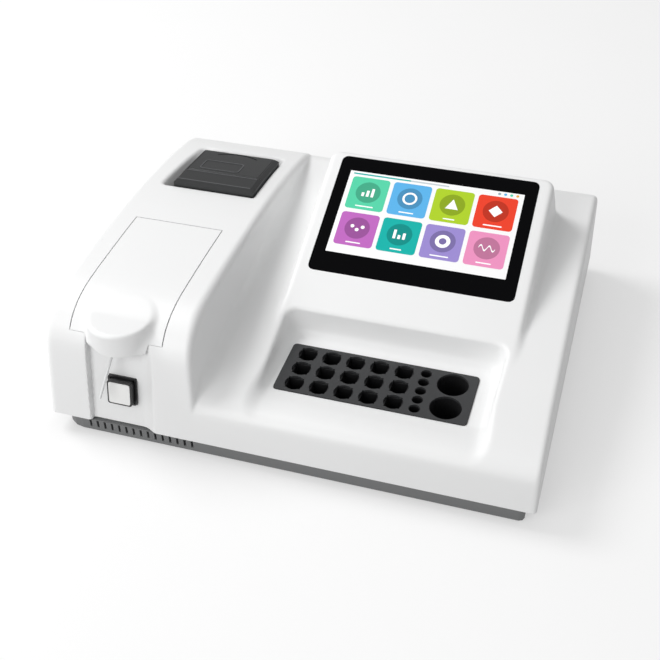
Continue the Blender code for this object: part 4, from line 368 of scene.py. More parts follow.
def look_up(table, y, z):
    """A table's value between its samples."""
    a = np.clip((y - TABLE_Y[0]) / TABLE_STEP, 0, table.shape[0] - LAST_CELL)
    b = np.clip((z - TABLE_Z[0]) / TABLE_STEP, 0, table.shape[1] - LAST_CELL)
    i, j = a.astype(int), b.astype(int)
    a, b = a - i, b - j
    return (table[i, j] * (1 - a) * (1 - b) + table[i + 1, j] * a * (1 - b)
            + table[i, j + 1] * (1 - a) * b + table[i + 1, j + 1] * a * b)


def both(a, b, radius):
    """Where two forms overlap, with the edge between them rounded."""
    over = np.hypot(np.maximum(a + radius, 0.0), np.maximum(b + radius, 0.0))
    return np.minimum(-radius, np.maximum(a, b)) + over


def either(a, b, radius):
    """Two forms joined, with a fillet between them."""
    return -both(-a, -b, radius)


# The tower's inner wall, and the rounding of its two upper edges at places from front to back
TOWER_WALL_X, TOWER_WALL_TOP, TOWER_WALL_LEAN = -75.0, 113.0, 0.055
INNER_EDGE = (-162.0, -146.0, -120.0, 0.0), (3.0, 4.5, 7.0, 5.5)
OUTER_EDGE = (-150.0, 150.0), (7.0, 4.5)


def tower_form(x, y, z):
    """The tower alone: its side outline between two leaning walls."""
    inner_wall = x - TOWER_WALL_X - (TOWER_WALL_TOP - z) * TOWER_WALL_LEAN
    outer_wall = -SIDE_X + (z - EDGE) * SIDE_LEAN - x
    tower = both(look_up(tower_table, y, z), inner_wall, np.interp(y, *INNER_EDGE))
    return both(tower, outer_wall, np.interp(y, *OUTER_EDGE))


# The deck's end under the tower, its outer edge, and the fillet of the gutter between the two
DECK_END = -90.0
DECK_EDGE = (-160.0, -100.0), (3.6, 5.0)
GUTTER_SHARE, GUTTER_LEAST, GUTTER_MOST = 0.45, 0.05, 10.0


def deck_and_tower(x, y, z):
    """The deck joined to the tower by the gutter's fillet."""
    slope = look_up(deck_table, y, z)
    right_wall = x - SIDE_X + (z - EDGE) * SIDE_LEAN
    deck = np.maximum(both(slope, right_wall, np.interp(y, *DECK_EDGE)), DECK_END - x)
    gutter = np.clip((slope - look_up(tower_table, y, z)) * GUTTER_SHARE, GUTTER_LEAST, GUTTER_MOST)
    return either(tower_form(x, y, z), deck, gutter)


# The screen's housing about the middle of its leaning face
SCREEN_X, SCREEN_Y, SCREEN_Z, SCREEN_LEAN = 62.7, 47.2, 108.7, 21.6
FACE_COS, FACE_SIN = 0.92978, 0.36812
HOUSING_HALF, HOUSING_DRAFT, DRAFT_COS, HOUSING_BACK = 99.75, 0.10, 0.995, 66.3
HOUSING_CORNER, HOUSING_EDGE, HOUSING_FILLET, HOUSING_REACH = 9.0, 4.0, 4.0, 130.0


def screen_form(x, y, z):
    """The wedge whose upper face carries the screen."""
    out_y, out_z = y - SCREEN_Y, z - SCREEN_Z
    along, proud = out_y * FACE_COS + out_z * FACE_SIN, out_z * FACE_COS - out_y * FACE_SIN
    side = (np.abs(x - SCREEN_X) - HOUSING_HALF + proud * HOUSING_DRAFT) * DRAFT_COS
    wedge = both(both(side, along - HOUSING_BACK, HOUSING_CORNER), proud, HOUSING_EDGE)
    return np.maximum(wedge, -HOUSING_REACH - along)


# The incubator's shelf: its floor rises in front, and its back and side walls lean outwards
SHELF_FLOOR, LIP_RISE, LIP_PLACE, LIP_RUN = 48.0, 6.2, -119.3, 31.0
SHELF_BACK, SHELF_BACK_Z, SHELF_BACK_LEAN = -45.8, 72.0, 0.12
SHELF_X, SHELF_HALF, SHELF_SIDE_Z, SHELF_SIDE_LEAN = 62.0, 92.0, 66.0, 0.16
SHELF_CORNER, SHELF_FILLET = 11.0, 7.0
SHELF_RIM = (-150.0, -105.0), (9.0, 3.0)


def shelf_form(x, y, z):
    """The room cut out of the deck for the incubator."""
    floor = SHELF_FLOOR + np.clip((LIP_PLACE - y) / LIP_RUN, 0.0, 1.0) * LIP_RISE
    back = y - SHELF_BACK - (z - SHELF_BACK_Z) * SHELF_BACK_LEAN
    side = np.abs(x - SHELF_X) - SHELF_HALF - (z - SHELF_SIDE_Z) * SHELF_SIDE_LEAN
    return both(both(back, side, SHELF_CORNER), floor - z, SHELF_FILLET)


# The sample channel: a leaning face with a sharp left wall and a flared right one
CHANNEL_FACE, CHANNEL_LEAN, CHANNEL_COS = -159.5, 0.21256, 0.978
CHANNEL_LEFT, CHANNEL_LEFT_ROUND = -162.0, 1.2
CHANNEL_RIGHT, CHANNEL_FLARE, FLARE_COS, CHANNEL_RIGHT_ROUND = -111.5, 0.9, 0.74, 5.0
CHANNEL_TOP, CHANNEL_TOP_ROUND, CHANNEL_RIM = 100.0, 2.0, 1.5


def channel_form(x, y, z):
    """The shallow channel in the tower's front wall."""
    face = y - CHANNEL_FACE - (z - EDGE) * CHANNEL_LEAN
    groove = both(both(face * CHANNEL_COS, CHANNEL_LEFT - x, CHANNEL_LEFT_ROUND),
                  (x - CHANNEL_RIGHT + face * CHANNEL_FLARE) * FLARE_COS, CHANNEL_RIGHT_ROUND)
    return both(groove, z - CHANNEL_TOP, CHANNEL_TOP_ROUND)


# The printer's well: its left and rear walls lean, and its corner at the front right is sharp
WELL_TOP, WELL_FLOOR, WELL_DRAFT = 114.0, 95.0, 19.0
WELL_LEFT, WELL_LEFT_LEAN, WELL_LEFT_COS = -180.0, 0.45, 0.91
WELL_REAR, WELL_REAR_LEAN, WELL_REAR_COS = 134.2, 0.5, 0.89
WELL_RIGHT, WELL_FRONT = -91.5, 43.5
SHARP_FROM_X, SHARP_TO_Y, SHARP_CORNER, ROUND_CORNER = -135.0, 88.0, 0.3, 5.0
WELL_EDGE, WELL_FILLET, WELL_RIM = 0.3, 1.2, 2.2


def well_form(x, y, z):
    """The sunk well that the printer stands in."""
    corner = np.where((x > SHARP_FROM_X) & (y < SHARP_TO_Y), SHARP_CORNER, ROUND_CORNER)
    sunk = np.clip(WELL_TOP - z, 0.0, WELL_DRAFT)
    sides = both((sunk * WELL_LEFT_LEAN + WELL_LEFT - x) * WELL_LEFT_COS, x - WELL_RIGHT, WELL_EDGE)
    ends = both(WELL_FRONT - y, (y - WELL_REAR + sunk * WELL_REAR_LEAN) * WELL_REAR_COS, WELL_EDGE)
    return both(both(sides, ends, corner), WELL_FLOOR - z, WELL_FILLET)


def cover_form(x, y, z):
    """Distance to the skin's outside in millimetres, negative inside it."""
    form = either(deck_and_tower(x, y, z), screen_form(x, y, z), HOUSING_FILLET)
    form = both(form, -shelf_form(x, y, z), np.interp(y, *SHELF_RIM))
    form = both(form, -channel_form(x, y, z), CHANNEL_RIM)
    return both(form, -well_form(x, y, z), WELL_RIM)


def graded(*stops):
    """Places along an axis whose spacing runs between the steps asked for at each stop."""
    spots, steps = zip(*stops)
    places = [spots[0]]
    while places[-1] < spots[-1]:
        places.append(places[-1] + float(np.interp(places[-1], spots, steps)))
    return np.array(places)


def skin_mesh(name, field, *axes):
    """The closed surface where a field is zero: one point in each cell that it crosses, then quads."""
    probe, least_slope, mending_rounds = 0.05, 0.2, 3
    x, y, z = np.meshgrid(*axes, indexing="ij", sparse=True)
    f = field(x + y * 0 + z * 0, y + x * 0 + z * 0, z + x * 0 + y * 0)
    solid = f < 0.0
    shape = tuple(n - 1 for n in f.shape)
    corners = [(i, j, k) for i in (0, 1) for j in (0, 1) for k in (0, 1)]
    part = lambda grid, c: grid[c[0]:c[0] + shape[0], c[1]:c[1] + shape[1], c[2]:c[2] + shape[2]]
    filled = sum(part(solid, c).astype(np.int8) for c in corners)
    cells = np.argwhere((filled > 0) & (filled < len(corners)))
    index = np.full(shape, -1, int)
    index[tuple(cells.T)] = np.arange(len(cells))
    value = {c: f[tuple((cells + np.array(c)).T)] for c in corners}
    total, count = np.zeros((len(cells), 3)), np.zeros(len(cells))
    for a in corners:
        for axis in range(3):
            if a[axis] == 0:
                b = tuple(1 if i == axis else n for i, n in enumerate(a))
                crossed = (value[a] < 0.0) != (value[b] < 0.0)
                share = np.where(crossed, value[a] / np.where(crossed, value[a] - value[b], 1.0), 0.0)
                spot = np.tile(np.array(a, float), (len(cells), 1))
                spot[:, axis] = share
                total += spot * crossed[:, None]
                count += crossed
    size = np.stack([np.diff(axes[i])[cells[:, i]] for i in range(3)], axis=1)
    points = np.stack([axes[i][cells[:, i]] for i in range(3)], axis=1) + total / count[:, None] * size
    for _ in range(mending_rounds):
        here = field(*points.T)
        beside = [field(*(points + np.eye(3)[axis] * probe).T) for axis in range(3)]
        slope = np.stack([there - here for there in beside], axis=1) / probe
        move = slope * (here / np.maximum((slope ** 2).sum(axis=1), least_slope))[:, None]
        points = points - np.clip(move, -size / 2, size / 2)
    quads = []
    for axis, (one, two) in enumerate(((1, 2), (2, 0), (0, 1))):
        near, far = [slice(None)] * 3, [slice(None)] * 3
        near[axis], far[axis] = slice(0, -1), slice(1, None)
        low, high = solid[tuple(near)], solid[tuple(far)]
        for outwards in (False, True):
            spots = np.argwhere(low & ~high if outwards else ~low & high)
            spots = spots[(spots[:, one] > 0) & (spots[:, two] > 0)
                          & (spots[:, one] < shape[one]) & (spots[:, two] < shape[two])]
            ring = []
            for da, db in ((1, 1), (0, 1), (0, 0), (1, 0)):
                cell = spots.copy()
                cell[:, one] -= da
                cell[:, two] -= db
                ring.append(index[tuple(cell.T)])
            ring = np.stack(ring, axis=1)
            quads.append(ring if outwards else ring[:, ::-1])
    quads = np.concatenate(quads)
    mesh = bpy.data.meshes.new(name)
    mesh.from_pydata((points / PER_METRE).tolist(), [], quads.tolist())
    return mesh


def add_piece(name, mesh):
    """A mesh in the scene under its name, at the origin."""
    piece = bpy.data.objects.new(name, mesh)
    bpy.context.scene.collection.objects.link(piece)
    return piece


def use_boolean(piece, tool, operation):
    """One Boolean step, applied, and its tool removed."""
    step = piece.modifiers.new("step", "BOOLEAN")
    step.operation, step.solver, step.object = operation, "EXACT", tool
    mesh = bpy.data.meshes.new_from_object(piece.evaluated_get(bpy.context.evaluated_depsgraph_get()))
    piece.modifiers.clear()
    piece.data = mesh
    bpy.data.objects.remove(tool, do_unlink=True)


def add_block(bm, low, high, place=Matrix(), corner=0.0, steps=3):
    """A box in a bmesh, in millimetres, with its upright edges rounded."""
    low, high = Vector(low) / PER_METRE, Vector(high) / PER_METRE
    made = bmesh.ops.create_cube(bm, size=1.0, matrix=Matrix.Translation((low + high) / 2)
                                 @ Matrix.Diagonal((*(high - low), 1.0)))
    verts = made["verts"]
    if corner:
        edges = {e for v in verts for e in v.link_edges if abs(e.verts[0].co.z - e.verts[1].co.z) > 1e-6}
        bevel = bmesh.ops.bevel(bm, geom=list(edges), offset=corner / PER_METRE, segments=steps, profile=0.5,
                                affect="EDGES")
        verts = list(set(verts) & set(bm.verts) | set(bevel["verts"]))
    bmesh.ops.transform(bm, matrix=place, verts=[v for v in verts if v.is_valid])


def close_mesh(name, bm):
    """The bmesh made a mesh with its faces pointing outwards."""
    bmesh.ops.recalc_face_normals(bm, faces=bm.faces)
    mesh = bpy.data.meshes.new(name)
    bm.to_mesh(mesh)
    bm.free()
    return mesh


# The grid is fine where the skin bends and coarse where it runs straight
skin_x = graded((-204.0, 1.5), (-66.0, 1.5), (-62.0, 3.0), (-46.0, 3.0), (-42.0, 1.6), (-24.0, 1.6),
                (-18.0, 3.6), (143.0, 3.6), (148.0, 1.6), (168.0, 1.6), (174.0, 3.0), (186.0, 3.0),
                (190.0, 1.5), (204.0, 1.5))
skin_y = graded((-169.0, 1.5), (-138.0, 1.5), (-130.0, 2.4), (-62.0, 2.4), (-58.0, 1.6), (-40.0, 1.6),
                (-34.0, 3.2), (36.0, 3.2), (40.0, 1.6), (48.0, 1.6), (54.0, 3.2), (96.0, 3.2),
                (100.0, 1.6), (140.0, 1.6), (146.0, 3.0), (152.0, 1.6), (176.0, 1.6))
skin_z = graded((10.0, 2.5), (14.0, 2.5), (20.0, 4.0), (42.0, 4.0), (46.0, 1.5), (136.0, 1.5))
coarse_step = 4.0
inner_grid = [np.arange(a, b, coarse_step) for a, b in ((-204.0, 206.0), (-169.0, 178.0), (0.0, 138.0))]
wall, inner_bottom = 2.5, 5.0
top_cover = add_piece("cover", skin_mesh(
    "cover", lambda x, y, z: np.maximum(cover_form(x, y, z), EDGE - z), skin_x, skin_y, skin_z))
inner = add_piece("inner", skin_mesh(
    "inner", lambda x, y, z: np.maximum(cover_form(x, y, z) + wall, inner_bottom - z), *inner_grid))
use_boolean(top_cover, inner, "DIFFERENCE")

# The openings in the skin, each as the low and the high corner of a room in millimetres
screen_place = (Matrix.Translation(Vector((SCREEN_X, SCREEN_Y, SCREEN_Z)) / PER_METRE)
                @ Matrix.Rotation(radians(SCREEN_LEAN), 4, "X"))
channel_foot, channel_tilt = (-0.136, -0.1595, 0.015), 78.0
button_spot = (0.002, 0.03343, 0.0)
channel_place = Matrix.Translation(channel_foot) @ Matrix.Rotation(radians(channel_tilt), 4, "X")
button_place = channel_place @ Matrix.Translation(button_spot)
glass_room, glass_corner = ((-88.15, -61.0, -2.8), (88.15, 61.0, 20.0)), 5.4
lid_room = (-177.2, -184.3, 93.9), (-97.2, -13.6, 150.0)
plate_room, plate_corner = ((-20.05, -120.05, 46.8), (136.85, -63.35, 68.0)), 3.4
button_room = (-12.2, -12.2, -20.0), (12.2, 12.2, 20.0)
panel_room = (-56.0, 162.2, 19.0), (146.0, 192.0, 51.0)
grille_slot, grille_pitch, grille_slots = ((-159.5, 160.0, 14.8), (-156.5, 190.0, 56.8)), 6.0, 9
bm = bmesh.new()
add_block(bm, *glass_room, screen_place, glass_corner, 4)
add_block(bm, *lid_room)
add_block(bm, *plate_room, Matrix(), plate_corner, 3)
add_block(bm, *button_room, button_place)
add_block(bm, *panel_room)
for i in range(grille_slots):
    add_block(bm, *((x + i * grille_pitch, y, z) for x, y, z in grille_slot))
use_boolean(top_cover, add_piece("holes", close_mesh("holes", bm)), "DIFFERENCE")

# The rooms below them: for the display, the incubator's block and the paper roll
display_room = (-82.8, -47.8, -20.0), (82.8, 53.0, -1.0)
block_room = (-18.75, -118.75, 28.0), (135.55, -64.65, 50.0)
paper_room = (-161.8, 49.6, 55.5), (-97.6, 111.2, 97.5)
bm = bmesh.new()
add_block(bm, *display_room, screen_place)
add_block(bm, *block_room)
add_block(bm, *paper_room)
use_boolean(top_cover, add_piece("holes", close_mesh("holes", bm)), "DIFFERENCE")
cover_white, _ = skin_material("cover_white", colour=(0.865, 0.868, 0.868), gloss=0.42,
                               grain_size=0.0007, grain_depth=0.12, drift=0.02)


def finish_skin(piece, material):
    """Smooth shading with crisp cut edges, and the material."""
    crisp_from = radians(32.0)
    piece.data.materials.clear()
    piece.data.materials.append(material)
    piece.data.polygons.foreach_set("material_index", [0] * len(piece.data.polygons))
    piece.data.shade_smooth()
    piece.data.set_sharp_from_angle(angle=crisp_from)


finish_skin(top_cover, cover_white)
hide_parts("top_cover")
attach(top_cover, "housing")
wear(rolled_steel, "cover_screw_1", "cover_screw_2", "cover_screw_3", "cover_screw_4")

# Flow cell lid
# A moulded flap in the same white plastic, hinged at its rear end. The round hood at its front
# covers the holder of the needle and is open below.

HOOD_X, HOOD_Y, HOOD_RADIUS, HOOD_TOP, HOOD_BOTTOM = -136.0, -134.1, 26.5, 108.5, 87.5
HOOD_EDGE, HOOD_LOWER_EDGE, HOOD_FILLET, HOOD_OPEN = 3.0, 1.0, 5.0, 4
LID_X = -137.2


def lid_form(x, y, z, wall=0.0):
    """The tower with the round hood blended into it, drawn in by a wall's thickness."""
    ring = np.hypot(x - HOOD_X, y - HOOD_Y) - HOOD_RADIUS
    hood = both(ring + wall, z - HOOD_TOP + wall, HOOD_EDGE)
    hood = both(hood, HOOD_BOTTOM - wall * HOOD_OPEN - z, HOOD_LOWER_EDGE)
    return either(tower_form(x, y, z) + wall, hood, HOOD_FILLET)


def trimmed(form, room, x, y, z):
    """A form cut off beyond a room: half width about the lid's middle, rear end and floor."""
    half, rear, floor = room
    return np.maximum(np.maximum(form, np.abs(x - LID_X) - half), np.maximum(y - rear, floor - z))


lid_step = 1.3
lid_grid = [np.arange(a, b, lid_step) for a, b in ((-190.0, -84.0), (-168.0, -2.0), (78.0, 119.0))]
lid_wall = 2.2
ledge_top, ledge_cover = 94.3, 0.5
outside_room, below_room, hollow_room = (43.0, -11.0, 86.0), (46.0, -8.0, 83.0), (48.0, -6.0, 81.0)
lid_limits = (-176.2, -190.0, 70.0), (-98.2, -14.5, 150.0)
lid = add_piece("lid", skin_mesh(
    "lid", lambda x, y, z: trimmed(lid_form(x, y, z), outside_room, x, y, z), *lid_grid))
below = add_piece("below", skin_mesh("below", lambda x, y, z: trimmed(
    np.maximum(tower_form(x, y, z) - ledge_cover, z - ledge_top), below_room, x, y, z), *lid_grid))
use_boolean(lid, below, "DIFFERENCE")
hollow = add_piece("hollow", skin_mesh("hollow", lambda x, y, z: trimmed(
    lid_form(x, y, z, lid_wall), hollow_room, x, y, z), *lid_grid))
use_boolean(lid, hollow, "DIFFERENCE")
bm = bmesh.new()
add_block(bm, *lid_limits)
use_boolean(lid, add_piece("limits", close_mesh("limits", bm)), "INTERSECT")
finish_skin(lid, cover_white)
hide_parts("flow_cell_lid")
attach(lid, "lid")

# Screen
# A pane of black-edged glass lies flush in the face of its housing, with the display and its
# folded steel bracket behind it. The lit picture is a plain menu of eight coloured tiles with
# simple signs.

screen_black, pane = skin_material("screen_black", colour=(0.002, 0.002, 0.0025), gloss=0.14,
                                   grain_size=0.004, grain_depth=0.02, drift=0.01)
pane.inputs["Specular IOR Level"].default_value = 0.05
wear(screen_black, "screen_glass")
wear(rolled_steel, "display_module", "display_bracket")

SHEET_FOOT, SHEET_HEIGHT = 0.02, 0.03


def add_sheet(bm, outline, level, tone):
    """A thin closed sheet of one colour above the glass; the outline is in millimetres."""
    layer = bm.loops.layers.float_color.get("tone") or bm.loops.layers.float_color.new("tone")
    rings = []
    for z in (SHEET_FOOT + level * SHEET_HEIGHT, SHEET_FOOT + (level + 1) * SHEET_HEIGHT):
        rings.append([bm.verts.new(screen_place @ (Vector((a, b, z)) / PER_METRE)) for a, b in outline])
    faces = [bm.faces.new(rings[1]), bm.faces.new(rings[0][::-1])]
    for i in range(len(outline)):
        j = (i + 1) % len(outline)
        faces.append(bm.faces.new((rings[0][i], rings[0][j], rings[1][j], rings[1][i])))
    for face in faces:
        for loop in face.loops:
            loop[layer] = (*tone, 1.0)


def rounded(x, y, width, height, corner, steps=5):
    """A rectangle with round corners about a centre, anticlockwise."""
    points = []
    for quarter in range(4):
        side_x, side_y = (1, -1, -1, 1)[quarter], (1, 1, -1, -1)[quarter]
        for i in range(steps + 1):
            angle = (quarter + i / steps) * pi / 2
            points.append((x + side_x * (width / 2 - corner) + corner * cos(angle),
                           y + side_y * (height / 2 - corner) + corner * sin(angle)))
    return points


def disc(x, y, radius, count=36):
    """A round outline about a centre, anticlockwise."""
    angles = [i * 2 * pi / count for i in range(count)]
    return [(x + radius * cos(angle), y + radius * sin(angle)) for angle in angles]


def linear(code):
    """A colour given as on a screen, turned into the renderer's linear values."""
    return tuple((int(code[i:i + 2], 16) / 255.0) ** 2.2 for i in (0, 2, 4))


picture_up, picture_width, picture_height, picture_corner = 2.64, 154.6, 86.4, 0.6
tiles = ("55c79f", "5aa9dd", "a5c52f", "e0432f", "b565b5", "1fa8a0", "9384c5", "e08bb5")
tile_columns, tile_size, tile_corner = 4, 34.0, 3.0
tile_left, tile_top, tile_pitch_x, tile_pitch_y = -56.25, 20.5, 37.5, 38.0
sign_up, sign_disc, sign_shade = 1.5, 11.0, 0.62
bar_pitch, bar_width, bar_foot, bar_least, bar_growth, bar_corner = 4.2, 2.4, 4.5, 4.0, 2.5, 0.4
ring_outside, ring_inside = 6.5, {1: 4.6, 6: 3.2}
triangle_half, triangle_foot, triangle_top, diamond_half = 5.6, 4.4, 6.0, 6.0
dot_pitch, dot_radius, dot_heights = 4.6, 1.7, (1.6, -1.6, 1.6)
wave_left, wave_step, wave_points, wave_height, wave_turn, wave_half = 7.0, 0.7, 21, 2.6, 0.62, 0.8
label_down, label_width, label_change, label_height, label_corner = 15.0, 16.0, 3.0, 1.2, 0.5
status_up, status_height, status_corner, status_dot, dot_left, dot_gap = 40.6, 1.4, 0.6, 1.3, 56.0, 5.2
status_dots = ("8fa4ad", "5aa9dd", "55c79f", "e0a23a")
white = linear("f6f6f6")

bm = bmesh.new()
add_sheet(bm, rounded(0.0, picture_up, picture_width, picture_height, picture_corner), 0, linear("ececec"))
for i, code in enumerate(tiles):
    x = tile_left + (i % tile_columns) * tile_pitch_x
    y = picture_up + tile_top - (i // tile_columns) * tile_pitch_y
    tone = linear(code)
    dark = tuple(c * sign_shade for c in tone)
    add_sheet(bm, rounded(x, y, tile_size, tile_size, tile_corner), 1, tone)
    y += sign_up
    add_sheet(bm, disc(x, y, sign_disc), 2, dark)
    if i in (0, 5):
        for j in range(3):
            bar = bar_least + bar_growth * ((j + i) % 3)
            add_sheet(bm, rounded(x - bar_pitch + j * bar_pitch, y - bar_foot + bar / 2, bar_width, bar,
                                  bar_corner), 3, white)
    elif i in ring_inside:
        add_sheet(bm, disc(x, y, ring_outside), 3, white)
        add_sheet(bm, disc(x, y, ring_inside[i]), 4, dark)
    elif i == 2:
        add_sheet(bm, [(x - triangle_half, y - triangle_foot), (x + triangle_half, y - triangle_foot),
                       (x, y + triangle_top)], 3, white)
    elif i == 3:
        add_sheet(bm, [(x - diamond_half, y), (x, y - diamond_half), (x + diamond_half, y),
                       (x, y + diamond_half)], 3, white)
    elif i == 4:
        for j, up in enumerate(dot_heights):
            add_sheet(bm, disc(x - dot_pitch + j * dot_pitch, y + up, dot_radius), 3, white)
    else:
        wave = [(x - wave_left + j * wave_step, y + wave_height * sin(j * wave_turn))
                for j in range(wave_points)]
        add_sheet(bm, [(a, b - wave_half) for a, b in wave] + [(a, b + wave_half) for a, b in wave[::-1]],
                  3, white)
    label = label_width - (i % 3) * label_change
    add_sheet(bm, rounded(x, y - label_down, label, label_height, label_corner), 2, white)
for place, width, level, code in ((-31.0, 86.0, 1, "b9c2c8"), (-48.0, 52.0, 2, "1fa8a0")):
    add_sheet(bm, rounded(place, picture_up + status_up, width, status_height, status_corner), level,
              linear(code))
for i, code in enumerate(status_dots):
    add_sheet(bm, disc(dot_left + i * dot_gap, picture_up + status_up, status_dot), 1, linear(code))
picture = add_piece("screen_picture", close_mesh("screen_picture", bm))
picture_lit = bpy.data.materials.new("screen_picture")
picture_lit.use_nodes = True
tree = picture_lit.node_tree
shader = tree.nodes["Principled BSDF"]
tone = tree.nodes.new("ShaderNodeAttribute")
tone.attribute_name = "tone"
pixels = tree.nodes.new("ShaderNodeTexNoise")
pixels.inputs["Scale"].default_value = 900.0
spot = tree.nodes.new("ShaderNodeTexCoord")
gloss_swing, gloss_least = 0.1, 0.13
tree.links.new(spot.outputs["Object"], pixels.inputs["Vector"])
tree.links.new(tone.outputs["Color"], shader.inputs["Base Color"])
tree.links.new(tone.outputs["Color"], shader.inputs["Emission Color"])
tree.links.new(link_maths(tree, "MULTIPLY_ADD", pixels.outputs["Fac"], gloss_swing, gloss_least),
               shader.inputs["Roughness"])
shader.inputs["Emission Strength"].default_value = 0.16
shader.inputs["Specular IOR Level"].default_value = 0.15
picture.data.materials.append(picture_lit)
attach(picture, "housing")

# Start button
# A square black push button with a white lens, snapped into the face of the sample channel. Its
# moulded cap slides in the bezel, and its switch sits behind them.

lens_white, _ = skin_material("lens_white", colour=(0.86, 0.86, 0.85), gloss=0.25,
                              grain_size=0.0009, grain_depth=0.1, drift=0.02)
wear(lens_white, "button_lens")
wear(black_plastic, "button_bezel", "button_cap", "button_switch")

# Printer
# A small thermal printer in charcoal plastic. Its door covers the paper roll. A raised line frames
# the field on the door, and fine ribs run along the top edges and the right side of the housing.
# These raised lines and ribs are in a lighter charcoal, a painted highlight along their edges.

# The lighter charcoal paints highlights on the raised lines and ribs; it is not a second plastic colour.
charcoal_painted_highlight, _ = skin_material("charcoal_painted_highlight", colour=(0.11, 0.113, 0.118), gloss=0.45,
                                  grain_size=0.0005, grain_depth=0.3, drift=0.05)
roll_paper, _ = skin_material("roll_paper", colour=(0.80, 0.79, 0.76), gloss=0.8,
                              grain_size=0.0004, grain_depth=0.4, drift=0.03)
roller_rubber, _ = skin_material("roller_rubber", colour=(0.03, 0.03, 0.03), gloss=0.7,
                                 grain_size=0.0008, grain_depth=0.3, drift=0.05)
wear(charcoal, "printer_housing", "printer_door")
wear(roll_paper, "paper_roll")
wear(roller_rubber, "platen_roller")
wear(rolled_steel, "print_head", "door_hinge_pin")


def add_wire(bm, points, place, width, low, high):
    """A closed band along a ring of points, in millimetres, standing up from a face."""
    loops = []
    for grow, z in ((-width / 2, low), (width / 2, low), (width / 2, high), (-width / 2, high)):
        ring = []
        for before, (x, y), after in zip(points[-1:] + points[:-1], points, points[1:] + points[:1]):
            along = Vector((after[0] - before[0], after[1] - before[1])).normalized()
            spot = Vector((x + along.y * grow, y - along.x * grow, z))
            ring.append(bm.verts.new(place @ (spot / PER_METRE)))
        loops.append(ring)
    for one, two in zip(loops, loops[1:] + loops[:1]):
        for i in range(len(points)):
            j = (i + 1) % len(points)
            bm.faces.new((one[i], one[j], two[j], two[i]))


door_spot, door_tilt = (0.0, 0.0664, 0.1172), -0.1339
door_place = Matrix.Translation(door_spot) @ Matrix.Rotation(door_tilt, 4, "X")
field = rounded(x=-135.5, y=15.5, width=37.0, height=18.0, corner=3.0)
bm = bmesh.new()
# The raised frame line on the door is in the lighter charcoal: a painted highlight along its edge.
add_wire(bm, field, door_place, width=0.7, low=-0.2, high=0.35)
door_line = add_piece("door_frame_line", close_mesh("door_frame_line", bm))
door_line.data.materials.append(charcoal_painted_highlight)
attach(door_line, "paper_door")


def make_rib_row():
    """Level ribs one above another, each cut short where the sloping top of the housing meets it."""
    tree = bpy.data.node_groups.new("rib_row", "GeometryNodeTree")
    for name, kind in (("Rib Count", "NodeSocketInt"), ("Rib Spacing", "NodeSocketFloat"),
                       ("Rib Thickness", "NodeSocketFloat"), ("Rib Height", "NodeSocketFloat"),
                       ("Full Length", "NodeSocketFloat"), ("Length At Top", "NodeSocketFloat"),
                       ("Slope", "NodeSocketFloat"), ("Finish", "NodeSocketMaterial")):
        tree.interface.new_socket(name=name, in_out="INPUT", socket_type=kind)
    tree.interface.new_socket(name="Ribs", in_out="OUTPUT", socket_type="NodeSocketGeometry")
    sizes = tree.nodes.new("NodeGroupInput").outputs
    finished = tree.nodes.new("NodeGroupOutput").inputs["Ribs"]

    def vector_of(*values):
        """A vector whose parts are sockets or plain numbers."""
        node = tree.nodes.new("ShaderNodeCombineXYZ")
        for socket, value in zip(node.inputs, values):
            if isinstance(value, bpy.types.NodeSocket):
                tree.links.new(value, socket)
            else:
                socket.default_value = value
        return node.outputs["Vector"]

    def add_node(kind, **links):
        """A node with sockets linked to its named inputs."""
        node = tree.nodes.new(kind)
        for name, source in links.items():
            tree.links.new(source, node.inputs[name])
        return node

    number = tree.nodes.new("GeometryNodeInputIndex").outputs["Index"]
    ribs_above = link_maths(tree, "SUBTRACT", link_maths(tree, "SUBTRACT", sizes["Rib Count"], 1.0), number)
    room = link_maths(tree, "DIVIDE", link_maths(tree, "MULTIPLY", ribs_above, sizes["Rib Spacing"]),
                      sizes["Slope"])
    length = link_maths(tree, "MINIMUM", link_maths(tree, "ADD", room, sizes["Length At Top"]),
                        sizes["Full Length"])
    half_height = link_maths(tree, "MULTIPLY", sizes["Rib Height"], 0.5)
    bar = add_node("GeometryNodeMeshCube", Size=vector_of(sizes["Rib Thickness"], 1.0, sizes["Rib Height"]))
    bar = add_node("GeometryNodeTransform", Geometry=bar.outputs["Mesh"],
                   Translation=vector_of(0.0, 0.5, half_height))
    row = add_node("GeometryNodeMeshLine", Count=sizes["Rib Count"],
                   Offset=vector_of(0.0, 0.0, sizes["Rib Spacing"]))
    ribs = add_node("GeometryNodeInstanceOnPoints", Points=row.outputs["Mesh"],
                    Instance=bar.outputs["Geometry"], Scale=vector_of(1.0, length, 1.0))
    ribs = add_node("GeometryNodeRealizeInstances", Geometry=ribs.outputs["Instances"])
    ribs = add_node("GeometryNodeSetMaterial", Geometry=ribs.outputs["Geometry"], Material=sizes["Finish"])
    tree.links.new(ribs.outputs["Geometry"], finished)
    return tree


rib_tree = make_rib_row()
rib_maker = add_piece("rib_maker", bpy.data.meshes.new("rib_maker"))
rib_modifier = rib_maker.modifiers.new("rib_row", "NODES")
rib_modifier.node_group = rib_tree
# The ribs are in the lighter charcoal: a painted highlight along each rib.
rib_sizes = {"Rib Count": 5, "Rib Spacing": 0.0032, "Rib Thickness": 0.00042, "Rib Height": 0.0009,
             "Full Length": 0.0595, "Length At Top": 0.0179, "Slope": 0.1347, "Finish": charcoal_painted_highlight}
for socket in rib_tree.interface.items_tree:
    if socket.in_out == "INPUT":
        rib_modifier[socket.identifier] = rib_sizes[socket.name]
bpy.context.view_layer.update()
rib_mesh = bpy.data.meshes.new_from_object(rib_maker.evaluated_get(bpy.context.evaluated_depsgraph_get()))
lowest_rib = (-0.09192, 0.0485, 0.1005)
rib_mesh.transform(Matrix.Translation(lowest_rib))
bpy.data.objects.remove(rib_maker)
